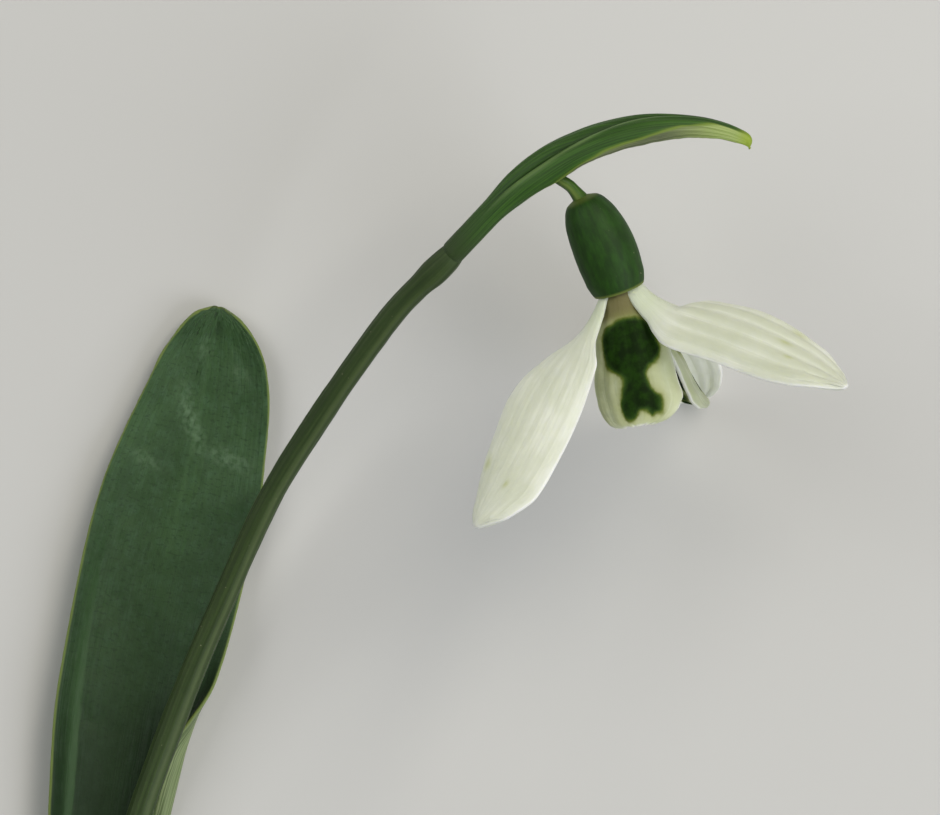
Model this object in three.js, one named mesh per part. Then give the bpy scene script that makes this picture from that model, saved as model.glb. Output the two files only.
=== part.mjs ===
// A snowdrop flower, picked with its stem and one leaf, lying on a table.
// Units are millimetres. X runs across, Y runs from the cut ends up to the flower, Z is up from the table.
import * as THREE from "three";

// Colours and how matt each is.
const STEM_GREEN = 0x4a5d35;
const LEAF_GREEN = 0x3c5a34;
const SPATHE_GREEN = 0x5f7d3a;
const STALK_GREEN = 0x5f7f34;
const OVARY_GREEN = 0x305412;
const OUTER_WHITE = 0xeef0e6;
const INNER_WHITE = 0xdfe4cc;
const POLLEN_ORANGE = 0xe0922a;
const STYLE_GREEN = 0xc9d8a0;
const SKIN_ROUGHNESS = 0.5;
const LEAF_ROUGHNESS = 0.6;
const TEPAL_ROUGHNESS = 0.45;

// Thickness of the blades.
const TEPAL_THICKNESS = 0.6;
const SPATHE_WALL = 0.6;
const SPATHE_KEEL_EXTRA = 0.35;
const LEAF_THICKNESS_MIDDLE = 0.9;
const LEAF_THICKNESS_MARGIN = 0.6;

// How far the keel of the leaf is pressed flat against the table.
const LEAF_KEEL_SINK = 0.2;

// The flower hangs from this point, the middle of the underside of the ovary.
const FLOWER_POINT = new THREE.Vector3(15.345, 27.675, 23.0);
// The flower leans this far to the right of straight down, and its open end leans this far from the viewer.
const FLOWER_LEAN = 17;
const FLOWER_TILT = 8;
// Gap between the underside of the ovary and the claws of the tepals.
const CLAW_GAP = 0.45;
const OUTER_RING = 2.05;
const INNER_RING = 1.55;

// Stem: centre line points from the cut end to the ring where the spathe begins.
const SCAPE_LINE = [
  [-33.6, -43.4, 2.5],
  [-31.0, -31.7, 2.9],
  [-27.9, -19.6, 3.6],
  [-25.2, -12.1, 4.6],
  [-23.0, -6.5, 5.7],
  [-20.3, -0.2, 7.3],
  [-15.5, 10.1, 11.0],
  [-12.1, 15.5, 13.6],
  [-8.4, 20.9, 16.6],
  [-4.3, 26.3, 19.7],
  [-0.3, 30.2, 22.3],
];
// Stem radius along the line: slightly stouter at the foot, with a raised ring at the top.
const SCAPE_RADIUS = [[0, 1.2], [0.35, 1.14], [0.6, 1.08], [0.955, 1.08], [0.985, 1.25], [1, 1.2]];

// Flower stalk, from inside the spathe round its bend to the ovary.
const PEDICEL_LINE = [
  [0.0, 30.5, 22.5],
  [1.95, 32.55, 23.6],
  [4.65, 35.2, 24.5],
  [6.9, 37.0, 24.9],
  [8.5, 38.0, 25.0],
  [9.6, 38.05, 25.0],
  [10.4, 37.55, 24.9],
  [11.0, 36.87, 24.75],
  [11.62, 36.2, 24.5],
];
const PEDICEL_RADIUS = [[0, 0.33], [0.5, 0.36], [0.7, 0.45], [0.92, 0.5], [1, 0.62]];

// Ovary: a green swelling with a blunt top, widest below its middle, cut flat under the rim.
const OVARY_LINE = [
  [11.97, 35.7, 24.3],
  [12.88, 33.85, 24.05],
  [13.86, 31.75, 23.75],
  [14.65, 29.7, 23.4],
  [15.345, 27.675, 23.0],
];
const OVARY_RADIUS = [
  [0, 0.75], [0.04, 1.5], [0.12, 2.05], [0.28, 2.53],
  [0.6, 2.84], [0.85, 2.68], [0.96, 2.45], [1, 2.3],
];

// Spathe: middle line of its height, its full height, its half width, how far round it closes.
const SPATHE_LINE = [
  [-0.05, 30.45, 22.6],
  [1.95, 32.55, 23.6],
  [4.2, 34.9, 24.4],
  [6.45, 36.95, 24.9],
  [8.7, 38.6, 25.3],
  [11.1, 40.0, 25.6],
  [14.0, 41.2, 25.9],
  [17.25, 42.0, 26.1],
  [20.85, 42.3, 26.2],
  [23.7, 42.05, 26.2],
  [25.8, 41.45, 26.1],
  [26.75, 40.95, 26.0],
  [27.05, 40.3, 25.9],
];
const SPATHE_HEIGHT = [
  [0, 2.3], [0.18, 2.3], [0.3, 2.85], [0.4, 3.1], [0.5, 2.8], [0.65, 2.7],
  [0.78, 2.2], [0.88, 1.85], [0.95, 1.6], [0.98, 1.3], [1, 0.8],
];
const SPATHE_HALF_WIDTH = [
  [0, 0.85], [0.18, 0.9], [0.36, 1.35], [0.52, 1.6], [0.66, 1.55],
  [0.78, 1.2], [0.88, 0.8], [0.96, 0.35], [1, 0.15],
];
const SPATHE_CLOSURE = [[0, 171], [0.18, 166], [0.36, 138], [0.52, 122], [0.7, 112], [0.88, 100], [1, 90]];
// The groove between the two keels is turned a little towards the viewer.
const SPATHE_ROLL = [[0, 0], [0.2, 4], [0.4, 14], [1, 15]];
const SPATHE_GROOVE = [[0, 0], [0.2, 0.05], [0.36, 0.3], [0.7, 0.3], [0.9, 0.12], [1, 0]];
const KEEL_ANGLE = 58;
const KEEL_SPREAD = 24;
const GROOVE_SPREAD = 22;

// Leaf: the line of its midrib, and on each side its width along the surface,
// the slope of the blade by the midrib, and how much more the outer part turns up.
const LEAF_LINE = [
  [-33.7, -43.5, 0],
  [-32.3, -31.7, 0],
  [-30.0, -19.6, 0],
  [-28.2, -9.2, 0],
  [-26.4, -0.2, 0],
  [-24.3, 8.8, 0],
  [-22.4, 17.8, 0],
  [-21.4, 23.2, 0.3],
  [-20.8, 26.2, 1.0],
];
const LEAF_LEFT_WIDTH = [
  [0, 4.2], [0.167, 5.5], [0.342, 7.2], [0.49, 8.15], [0.62, 8.2], [0.75, 7.55],
  [0.82, 6.6], [0.88, 5.5], [0.93, 4.5], [0.957, 3.6], [0.985, 2.3], [1, 0.3],
];
const LEAF_RIGHT_WIDTH = [
  [0, 3.8], [0.167, 5.0], [0.342, 7.0], [0.49, 7.7], [0.62, 7.8], [0.75, 7.6],
  [0.82, 7.1], [0.88, 6.6], [0.93, 5.7], [0.957, 4.7], [0.985, 2.7], [1, 0.3],
];
const LEAF_LEFT_SLOPE = [[0, 25], [0.342, 14], [0.62, 12], [0.75, 15], [0.88, 18], [1, 22]];
const LEAF_RIGHT_SLOPE = [[0, 25], [0.342, 8], [0.62, 14], [0.88, 18], [1, 22]];
const LEAF_LEFT_TURN = [[0, 75], [0.167, 60], [0.342, 40], [0.62, 35], [0.75, 12], [0.88, 6], [1, 15]];
const LEAF_RIGHT_TURN = [
  [0, 75], [0.167, 105], [0.342, 175], [0.42, 150], [0.47, 95],
  [0.53, 45], [0.62, 20], [0.75, 8], [0.88, 6], [1, 15],
];
const LEAF_LEFT_TURN_FROM = 0.58;
const LEAF_LEFT_TURN_TO = 0.8;
const LEAF_RIGHT_TURN_FROM = 0.5;
const LEAF_RIGHT_TURN_TO = 0.9;
const LEAF_SLOPE_REACH = 0.3;

// Each tepal: azimuth round the flower (0 faces the viewer, 90 is right), length, and by fraction
// of its length the angle it spreads from the flower's axis, its turn sideways, its roll, its width
// to the right and to the left of its midline, and its cupping. Ribs are as high as ribHeight.
// An end is slanted and bowed by its two numbers.
const WIDTH_AT = [0, 0.1, 0.15, 0.2, 0.25, 0.45, 0.65, 0.8, 0.92, 0.97, 1];
const BEND_AT = [0, 0.2, 0.5, 0.8, 1];
const THIRDS = [0, 0.5, 1];
const CUP_AT = [0, 0.3, 1];
const TEPALS = {
  outer_tepal_left: {
    azimuth: -62,
    ring: OUTER_RING,
    length: 24.25,
    bend: [42, 58, 50, 51, 53],
    yaw: [0, 3.5, -8],
    roll: [-6, 33, 4.5],
    right: [0.6, 0.9, 1.25, 2.0, 2.9, 3.6, 3.8, 4.0, 2.75, 1.35, 0.35],
    left: [0.7, 0.95, 1.5, 2.4, 3.45, 4.25, 4.15, 3.7, 2.4, 1.25, 0.35],
    cup: [60, 35, 25],
    ribHeight: 0.03,
  },
  outer_tepal_right: {
    azimuth: 62,
    ring: OUTER_RING,
    length: 22.0,
    bend: [30, 63, 59, 52.5, 44],
    yaw: [-4.5, -5, 0],
    roll: [-15, -32, 2],
    rightAt: [0, 0.1, 0.15, 0.18, 0.22, 0.26, 0.45, 0.65, 0.8, 0.92, 0.97, 1],
    right: [0.85, 1.1, 1.05, 0.95, 2.9, 3.7, 4.05, 4.15, 4.05, 2.7, 1.3, 0.35],
    left: [0.85, 1.6, 2.5, 3.3, 3.65, 3.4, 3.4, 3.1, 2.15, 1.2, 0.35],
    cup: [60, 35, 25],
    ribHeight: 0.08,
  },
  outer_tepal_back: {
    azimuth: 172,
    ring: OUTER_RING,
    length: 24.55,
    bend: [24, 43, 60.5, 59, 82],
    yaw: [-12, 1, 9],
    roll: [-2, 15, 0],
    right: [0.8, 1.2, 1.7, 2.25, 2.8, 3.8, 3.9, 3.4, 2.2, 1.25, 0.4],
    left: [0.8, 1.2, 1.7, 2.25, 2.8, 3.8, 3.9, 3.4, 2.2, 1.25, 0.4],
    cup: [60, 35, 25],
    ribHeight: 0.05,
  },
  inner_tepal_front: {
    azimuth: -6,
    ring: INNER_RING,
    length: 11.9,
    bend: [7, 18, 14, 27, 24],
    yaw: [-4, -8.5, -1],
    roll: [5, 0, 0.5],
    right: [0.8, 1.5, 2.0, 2.45, 2.9, 3.75, 4.15, 4.45, 4.0, 3.1, 1.5],
    left: [0.9, 1.55, 2.05, 2.55, 3.0, 3.65, 4.05, 3.95, 3.6, 3.2, 2.1],
    cup: [60, 55, 45],
    end: [0.11, 0.062],
  },
  inner_tepal_right: {
    azimuth: 105,
    ring: INNER_RING,
    length: 12.8,
    bend: [6, 21, 12, 17, 30],
    yaw: [-2, 11, -6],
    roll: [2, 6.5, -8],
    right: [0.75, 1.2, 1.5, 1.85, 2.2, 3.1, 3.7, 3.9, 3.1, 1.95, 0.6],
    left: [0.75, 1.2, 1.5, 1.85, 2.2, 3.1, 3.7, 3.9, 3.1, 1.95, 0.6],
    cup: [60, 55, 45],
  },
  inner_tepal_left: {
    azimuth: -129,
    ring: INNER_RING,
    length: 12.2,
    bend: [6, 17, 13, 15, 12],
    yaw: [0, -3, 0],
    roll: [0, 0, 0],
    right: [0.75, 1.15, 1.4, 1.7, 2.0, 2.8, 3.3, 3.5, 2.8, 1.85, 0.6],
    left: [0.75, 1.15, 1.4, 1.7, 2.0, 2.8, 3.3, 3.5, 2.8, 1.85, 0.6],
    cup: [60, 55, 45],
  },
};

// The ribs of the outer tepals: how many waves run across each side,
// and the part of the length that has them.
const RIB_WAVES = 2;
const RIB_FROM = 0.12;
const RIB_FADE = 0.15;
const RIB_TIP_FADE = 0.08;
// The share of the length past which a slanted end begins.
const END_FROM = 0.5;
// The last full row of a tepal, from where its rows come closer together.
const TEPAL_LAST_ROW = 0.94;
const OUTER_ROWS = 24;
const OUTER_COLUMNS = 16;
const INNER_ROWS = 15;
const INNER_COLUMNS = 10;

// Stamens stand in a ring round the style, each a thin filament with a long pointed anther.
const STAMEN_COUNT = 6;
const STAMEN_RING = 0.85;
const FILAMENT_LENGTH = 1.5;
const FILAMENT_RADIUS = 0.2;
const ANTHER_LENGTH = 5.6;
const ANTHER_DEPTH = 0.42;
const ANTHER_WIDTH = 0.3;
const STYLE_LENGTH = 8.2;
const STYLE_RADIUS = 0.26;

const STAMEN_TIP_LEAN = 0.1;

// How finely lines and sections are stepped.
const HEADING_STEP = 1e-4;
const TEPAL_LINE_STEPS = 300;
const LEAF_SECTION_STEPS = 40;
const SCAPE_SIDES = 12;
const SCAPE_ROWS = 44;
const SCAPE_LAST_ROW = 0.955;
const STALK_SIDES = 10;
const STALK_ROWS = 26;
const OVARY_SIDES = 20;
const STAMEN_SIDES = 10;
const SPATHE_ROWS = 34;
const SPATHE_COLUMNS = 18;
const LEAF_ROWS = 34;
const LEAF_LAST_ROW = 0.93;
// Keels stand out between these parts of the spathe's length.
const KEEL_FROM = 0.15;
const KEEL_FADE_IN = 0.2;
const KEEL_FADE_OUT = 0.15;
// A tepal's ribs flatten towards its margin by this power of the way across.
const RIB_MARGIN_POWER = 6;

const group = new THREE.Group();

function radians(degrees) {
  return (degrees * Math.PI) / 180;
}

function clamp(value, low, high) {
  return Math.min(high, Math.max(low, value));
}

function smoothstep(value) {
  const x = clamp(value, 0, 1);
  return x * x * (3 - 2 * x);
}

function spaced(count) {
  return Array.from({ length: count + 1 }, (_, i) => i / count);
}

// Smooth curve through stations; a steady one never swings past its stations.
function along(at, values, t, steady = true) {
  const last = at.length - 1;
  const step = at.slice(1).map((x, i) => (values[i + 1] - values[i]) / (x - at[i]));
  const slope = values.map((_, i) => {
    if (i === 0) {
      return step[0];
    }
    if (i === last) {
      return step[last - 1];
    }
    const before = at[i] - at[i - 1];
    const after = at[i + 1] - at[i];
    if (!steady) {
      return (step[i - 1] * after + step[i] * before) / (after + before);
    }
    return step[i - 1] * step[i] > 0 ? (2 * step[i - 1] * step[i]) / (step[i - 1] + step[i]) : 0;
  });
  const x = clamp(t, at[0], at[last]);
  let i = 0;
  while (i < last - 1 && x >= at[i + 1]) {
    i += 1;
  }
  const width = at[i + 1] - at[i];
  const s = (x - at[i]) / width;
  return (
    values[i] * (1 + 2 * s) * (1 - s) ** 2 +
    slope[i] * width * s * (1 - s) ** 2 +
    values[i + 1] * s * s * (3 - 2 * s) +
    slope[i + 1] * width * s * s * (s - 1)
  );
}

function station(pairs, t) {
  return along(pairs.map((p) => p[0]), pairs.map((p) => p[1]), t);
}

// A line in space through the given points, by fraction of the distance from point to point.
function spaceLine(points) {
  const distance = [0];
  for (let i = 1; i < points.length; i += 1) {
    const before = new THREE.Vector3(...points[i - 1]);
    distance.push(distance[i - 1] + before.distanceTo(new THREE.Vector3(...points[i])));
  }
  const total = distance[distance.length - 1];
  const at = distance.map((d) => d / total);
  const coordinate = (k, t) => along(at, points.map((p) => p[k]), t, false);
  const place = (t) => new THREE.Vector3(coordinate(0, t), coordinate(1, t), coordinate(2, t));
  const heading = (t) => {
    const ahead = place(Math.min(1, t + HEADING_STEP));
    return ahead.sub(place(Math.max(0, t - HEADING_STEP))).normalize();
  };
  return { place, heading };
}

function addMesh(name, positions, triangles, colour, roughness) {
  const geometry = new THREE.BufferGeometry();
  geometry.setAttribute("position", new THREE.Float32BufferAttribute(positions, 3));
  geometry.setIndex(triangles);
  let volume = 0;
  const corner = (i) => new THREE.Vector3().fromArray(positions, 3 * i);
  for (let i = 0; i < triangles.length; i += 3) {
    volume += corner(triangles[i]).dot(corner(triangles[i + 1]).cross(corner(triangles[i + 2]))) / 6;
  }
  if (volume < 0) {
    for (let i = 0; i < triangles.length; i += 3) {
      [triangles[i + 1], triangles[i + 2]] = [triangles[i + 2], triangles[i + 1]];
    }
    geometry.setIndex(triangles);
  }
  geometry.computeVertexNormals();
  const material = new THREE.MeshStandardMaterial({ color: colour, roughness, metalness: 0 });
  const mesh = new THREE.Mesh(geometry, material);
  mesh.name = name;
  group.add(mesh);
}

// A closed blade: a middle surface given row by row, thickened along its normals and closed by a rim.
function blade(name, ts, us, middle, thickness, colour, roughness, lift = 0) {
  const rows = ts.length;
  const columns = us.length;
  const grid = ts.map((t) => us.map((u) => middle(t, u)));
  const positions = [];
  for (const side of [1, -1]) {
    for (let i = 0; i < rows; i += 1) {
      for (let j = 0; j < columns; j += 1) {
        const down = grid[Math.min(i + 1, rows - 1)][j].clone().sub(grid[Math.max(i - 1, 0)][j]);
        const across = grid[i][Math.min(j + 1, columns - 1)].clone().sub(grid[i][Math.max(j - 1, 0)]);
        const normal = across.cross(down).normalize();
        const point = grid[i][j].clone().addScaledVector(normal, (side * thickness(ts[i], us[j])) / 2);
        positions.push(point.x, point.y, Math.max(point.z + lift, 0));
      }
    }
  }
  const triangles = [];
  const second = rows * columns;
  for (let i = 0; i < rows - 1; i += 1) {
    for (let j = 0; j < columns - 1; j += 1) {
      const a = i * columns + j;
      const b = a + 1;
      const c = a + columns;
      const d = c + 1;
      triangles.push(a, c, b, b, c, d);
      triangles.push(a + second, b + second, c + second, b + second, d + second, c + second);
    }
  }
  const rim = [];
  for (let j = 0; j < columns - 1; j += 1) {
    rim.push(j);
  }
  for (let i = 0; i < rows - 1; i += 1) {
    rim.push(i * columns + columns - 1);
  }
  for (let j = columns - 1; j > 0; j -= 1) {
    rim.push((rows - 1) * columns + j);
  }
  for (let i = rows - 1; i > 0; i -= 1) {
    rim.push(i * columns);
  }
  rim.forEach((from, k) => {
    const to = rim[(k + 1) % rim.length];
    triangles.push(from, to, from + second, to, to + second, from + second);
  });
  addMesh(name, positions, triangles, colour, roughness);
}

// A closed rod along a line, round or oval, with a flat face at each end.
function rod(name, line, ts, sides, radius, colour, roughness, reference = new THREE.Vector3(0, 0, 1)) {
  const positions = [];
  for (const t of ts) {
    const centre = line.place(t);
    const heading = line.heading(t);
    const side = heading.clone().cross(reference).normalize();
    const up = side.clone().cross(heading);
    const [wide, deep] = radius(t);
    for (let k = 0; k < sides; k += 1) {
      const angle = (2 * Math.PI * k) / sides;
      const point = centre
        .clone()
        .addScaledVector(side, wide * Math.cos(angle))
        .addScaledVector(up, deep * Math.sin(angle));
      positions.push(point.x, point.y, point.z);
    }
  }
  const triangles = [];
  for (let i = 0; i < ts.length - 1; i += 1) {
    for (let k = 0; k < sides; k += 1) {
      const a = i * sides + k;
      const b = i * sides + ((k + 1) % sides);
      triangles.push(a, b, a + sides, b, b + sides, a + sides);
    }
  }
  for (const t of [0, 1]) {
    const ring = t * (ts.length - 1) * sides;
    const centre = line.place(t);
    const middle = positions.length / 3;
    positions.push(centre.x, centre.y, centre.z);
    for (let k = 0; k < sides; k += 1) {
      const a = ring + k;
      const b = ring + ((k + 1) % sides);
      triangles.push(...(t === 0 ? [middle, b, a] : [middle, a, b]));
    }
  }
  addMesh(name, positions, triangles, colour, roughness);
}

// Flower frame: axis out of the ovary, right, and towards the viewer.
const lean = radians(FLOWER_LEAN);
const tilt = radians(FLOWER_TILT);
const axis = new THREE.Vector3(
  Math.sin(lean) * Math.cos(tilt),
  -Math.cos(lean) * Math.cos(tilt),
  -Math.sin(tilt)
);
const rightward = new THREE.Vector3(Math.cos(lean), Math.sin(lean), 0);
const viewward = axis.clone().cross(rightward);

function outward(azimuth) {
  const angle = radians(azimuth);
  return rightward.clone().multiplyScalar(Math.sin(angle)).addScaledVector(viewward, Math.cos(angle));
}

// Middle line of a tepal and the directions across it, stepped finely from claw to tip.
function tepalLine(form) {
  const steps = TEPAL_LINE_STEPS;
  const out = outward(form.azimuth);
  const across = rightward
    .clone()
    .multiplyScalar(Math.cos(radians(form.azimuth)))
    .addScaledVector(viewward, -Math.sin(radians(form.azimuth)));
  const headings = spaced(steps).map((t) => {
    const bend = radians(along(BEND_AT, form.bend, t));
    const yaw = radians(along(THIRDS, form.yaw, t));
    return axis
      .clone()
      .multiplyScalar(Math.cos(bend) * Math.cos(yaw))
      .addScaledVector(out, Math.sin(bend) * Math.cos(yaw))
      .addScaledVector(across, Math.sin(yaw));
  });
  const points = [FLOWER_POINT.clone().addScaledVector(axis, CLAW_GAP).addScaledVector(out, form.ring)];
  for (let i = 1; i <= steps; i += 1) {
    const stride = headings[i].clone().add(headings[i - 1]).multiplyScalar(form.length / steps / 2);
    points.push(points[i - 1].clone().add(stride));
  }
  return (t) => {
    const i = Math.min(steps - 1, Math.floor(t * steps));
    const s = t * steps - i;
    const heading = headings[i].clone().lerp(headings[i + 1], s).normalize();
    const level = across.clone().addScaledVector(heading, -across.dot(heading)).normalize();
    const inward = heading.clone().cross(level);
    if (inward.dot(out) > 0) {
      inward.negate();
    }
    return { point: points[i].clone().lerp(points[i + 1], s), heading, level, inward };
  };
}

function tepalSurface(form) {
  const line = tepalLine(form);
  return (t, u) => {
    const { point, heading, level, inward } = line(t);
    const roll = radians(along(THIRDS, form.roll, t));
    const sideways = level.clone().multiplyScalar(Math.cos(roll)).addScaledVector(inward, Math.sin(roll));
    const upward = inward.clone().multiplyScalar(Math.cos(roll)).addScaledVector(level, -Math.sin(roll));
    const half = u > 0 ? along(form.rightAt ?? WIDTH_AT, form.right, t) : along(WIDTH_AT, form.left, t);
    const cup = radians(along(CUP_AT, form.cup, t));
    const out = (half * Math.sin(cup * u)) / cup;
    const ribsAlong = smoothstep((t - RIB_FROM) / RIB_FADE) * smoothstep((1 - t) / RIB_TIP_FADE);
    const ribsAcross = Math.cos(2 * Math.PI * RIB_WAVES * u) * (1 - u ** RIB_MARGIN_POWER);
    const rib = (form.ribHeight ?? 0) * ribsAlong * ribsAcross;
    const [slant, bow] = form.end ?? [0, 0];
    const ending = smoothstep((t - END_FROM) / (1 - END_FROM));
    return point
      .addScaledVector(sideways, out)
      .addScaledVector(upward, (half * (1 - Math.cos(cup * u))) / cup + rib)
      .addScaledVector(heading, ending * (slant * out - bow * out * out));
  };
}

// Cross section of the spathe: an oval shell open below, grooved along its back between two thick keels.
const spatheLine = spaceLine(SPATHE_LINE);
function spatheSurface(t, u) {
  const heading = spatheLine.heading(t);
  const roll = radians(station(SPATHE_ROLL, t));
  const front = new THREE.Vector3(0, 0, 1).addScaledVector(heading, -heading.z).normalize();
  const back = front.clone().cross(heading).normalize();
  const dorsal = back.clone().multiplyScalar(Math.cos(roll)).addScaledVector(front, Math.sin(roll));
  const sideways = front.clone().multiplyScalar(Math.cos(roll)).addScaledVector(back, -Math.sin(roll));
  const closure = radians(station(SPATHE_CLOSURE, t));
  const tall = (station(SPATHE_HEIGHT, t) - SPATHE_WALL) / (1 - Math.cos(closure));
  const rise = (tall * (1 + Math.cos(closure))) / -2;
  const angle = u * closure;
  const groove = station(SPATHE_GROOVE, t) * Math.exp(-((angle / radians(GROOVE_SPREAD)) ** 2));
  return spatheLine
    .place(t)
    .addScaledVector(dorsal, rise + tall * Math.cos(angle) - groove)
    .addScaledVector(sideways, station(SPATHE_HALF_WIDTH, t) * Math.sin(angle));
}

function spatheThickness(t, u) {
  const angle = Math.abs(u) * station(SPATHE_CLOSURE, t);
  const keel = Math.exp(-(((angle - KEEL_ANGLE) / KEEL_SPREAD) ** 2));
  const fade = smoothstep((t - KEEL_FROM) / KEEL_FADE_IN) * smoothstep((1 - t) / KEEL_FADE_OUT);
  return SPATHE_WALL + SPATHE_KEEL_EXTRA * keel * fade;
}

// Cross section of the leaf: each side leaves the midrib at a slope and turns further up near its margin.
const leafLine = spaceLine(LEAF_LINE);
function leafSide(t, u) {
  const right = u > 0;
  const width = station(right ? LEAF_RIGHT_WIDTH : LEAF_LEFT_WIDTH, t);
  const slope = station(right ? LEAF_RIGHT_SLOPE : LEAF_LEFT_SLOPE, t);
  const turn = station(right ? LEAF_RIGHT_TURN : LEAF_LEFT_TURN, t);
  const from = right ? LEAF_RIGHT_TURN_FROM : LEAF_LEFT_TURN_FROM;
  const to = right ? LEAF_RIGHT_TURN_TO : LEAF_LEFT_TURN_TO;
  const steps = LEAF_SECTION_STEPS;
  let reach = 0;
  let rise = 0;
  for (let k = 0; k < steps; k += 1) {
    const v = (Math.abs(u) * (k + 0.5)) / steps;
    const leaving = slope * smoothstep(v / LEAF_SLOPE_REACH);
    const turning = turn * smoothstep((v - from) / (to - from));
    const angle = radians(leaving + turning);
    reach += (Math.cos(angle) * width * Math.abs(u)) / steps;
    rise += (Math.sin(angle) * width * Math.abs(u)) / steps;
  }
  return [right ? reach : -reach, rise];
}

function leafSurface(t, u) {
  const heading = leafLine.heading(t).setZ(0).normalize();
  const across = new THREE.Vector3(heading.y, -heading.x, 0);
  const [reach, rise] = leafSide(t, u);
  return leafLine
    .place(t)
    .addScaledVector(across, reach)
    .add(new THREE.Vector3(0, 0, rise));
}

function leafThickness(t, u) {
  return LEAF_THICKNESS_MIDDLE - (LEAF_THICKNESS_MIDDLE - LEAF_THICKNESS_MARGIN) * Math.abs(u);
}

// Stem.
const scapeSteps = [...spaced(SCAPE_ROWS).map((t) => t * SCAPE_LAST_ROW), 0.97, 0.985, 1];
rod("scape", spaceLine(SCAPE_LINE), scapeSteps, SCAPE_SIDES, (t) => {
  const radius = station(SCAPE_RADIUS, t);
  return [radius, radius];
}, STEM_GREEN, SKIN_ROUGHNESS);

// Leaf.
const leafAcross = [
  -1, -0.9, -0.8, -0.69, -0.58, -0.45, -0.3, -0.14, 0,
  0.14, 0.3, 0.42, 0.5, 0.6, 0.7, 0.8, 0.9, 1,
];
const leafDown = [...spaced(LEAF_ROWS).map((t) => t * LEAF_LAST_ROW), 0.957, 0.975, 0.99, 1];
blade("leaf", leafDown, leafAcross, leafSurface, leafThickness, LEAF_GREEN, LEAF_ROUGHNESS,
  LEAF_THICKNESS_MIDDLE / 2 - LEAF_KEEL_SINK);

// Spathe.
const spatheAcross = spaced(SPATHE_COLUMNS).map((v) => v * 2 - 1);
blade("spathe", spaced(SPATHE_ROWS), spatheAcross, spatheSurface, spatheThickness,
  SPATHE_GREEN, SKIN_ROUGHNESS);

// Flower stalk and ovary.
rod("pedicel", spaceLine(PEDICEL_LINE), spaced(STALK_ROWS), STALK_SIDES, (t) => {
  const radius = station(PEDICEL_RADIUS, t);
  return [radius, radius];
}, STALK_GREEN, SKIN_ROUGHNESS);
const ovarySteps = [0, 0.02, 0.05, 0.1, 0.17, 0.26, 0.37, 0.5, 0.63, 0.75, 0.85, 0.93, 0.97, 1];
rod("ovary", spaceLine(OVARY_LINE), ovarySteps, OVARY_SIDES, (t) => {
  const radius = station(OVARY_RADIUS, t);
  return [radius, radius];
}, OVARY_GREEN, SKIN_ROUGHNESS);

// Tepals.
for (const [name, form] of Object.entries(TEPALS)) {
  const outer = name.startsWith("outer");
  const rowCount = outer ? OUTER_ROWS : INNER_ROWS;
  const rows = [...spaced(rowCount).map((t) => t * TEPAL_LAST_ROW), 0.97, 0.99, 1];
  const columns = spaced(outer ? OUTER_COLUMNS : INNER_COLUMNS).map((v) => v * 2 - 1);
  const colour = outer ? OUTER_WHITE : INNER_WHITE;
  blade(name, rows, columns, tepalSurface(form), () => TEPAL_THICKNESS, colour, TEPAL_ROUGHNESS);
}

// Stamens and style.
for (let k = 0; k < STAMEN_COUNT; k += 1) {
  const out = outward((360 / STAMEN_COUNT) * k);
  const foot = FLOWER_POINT.clone().addScaledVector(axis, CLAW_GAP).addScaledVector(out, STAMEN_RING);
  const length = FILAMENT_LENGTH + ANTHER_LENGTH;
  const tip = foot.clone().addScaledVector(axis, length).addScaledVector(out, -STAMEN_TIP_LEAN);
  const filament = FILAMENT_LENGTH / length;
  const thread = [[0, FILAMENT_RADIUS], [filament - 0.02, FILAMENT_RADIUS]];
  const point = [[0.9, 0.2], [1, 0.1]];
  const widths = [...thread, [filament + 0.05, ANTHER_WIDTH], [0.7, ANTHER_WIDTH], ...point];
  const depths = [...thread, [filament + 0.05, ANTHER_DEPTH], [0.6, 0.38], ...point];
  const steps = [0, 0.19, 0.23, 0.27, 0.5, 0.75, 0.9, 1];
  rod(`stamen_${k + 1}`, spaceLine([foot.toArray(), tip.toArray()]), steps, STAMEN_SIDES,
    (t) => [station(widths, t), station(depths, t)], POLLEN_ORANGE, LEAF_ROUGHNESS, out);
}
const styleFoot = FLOWER_POINT.clone().addScaledVector(axis, CLAW_GAP);
const styleTip = styleFoot.clone().addScaledVector(axis, STYLE_LENGTH);
rod("style", spaceLine([styleFoot.toArray(), styleTip.toArray()]), [0, 0.5, 0.94, 1], STAMEN_SIDES, (t) => {
  const radius = station([[0, STYLE_RADIUS], [0.94, STYLE_RADIUS], [1, 0.16]], t);
  return [radius, radius];
}, STYLE_GREEN, SKIN_ROUGHNESS);

export default group;
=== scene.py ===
# %% [markdown]
# # A picked snowdrop on a pale table
# The stem, one strap leaf, the green hood over the flower, the stalk, the green ovary, six white petals and
# the stamens are each a piece of their own. The plain solids give the size and the collision. This lesson
# replaces each with a finer surface that has the same middle lines and widths, and paints it by formula.

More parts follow.
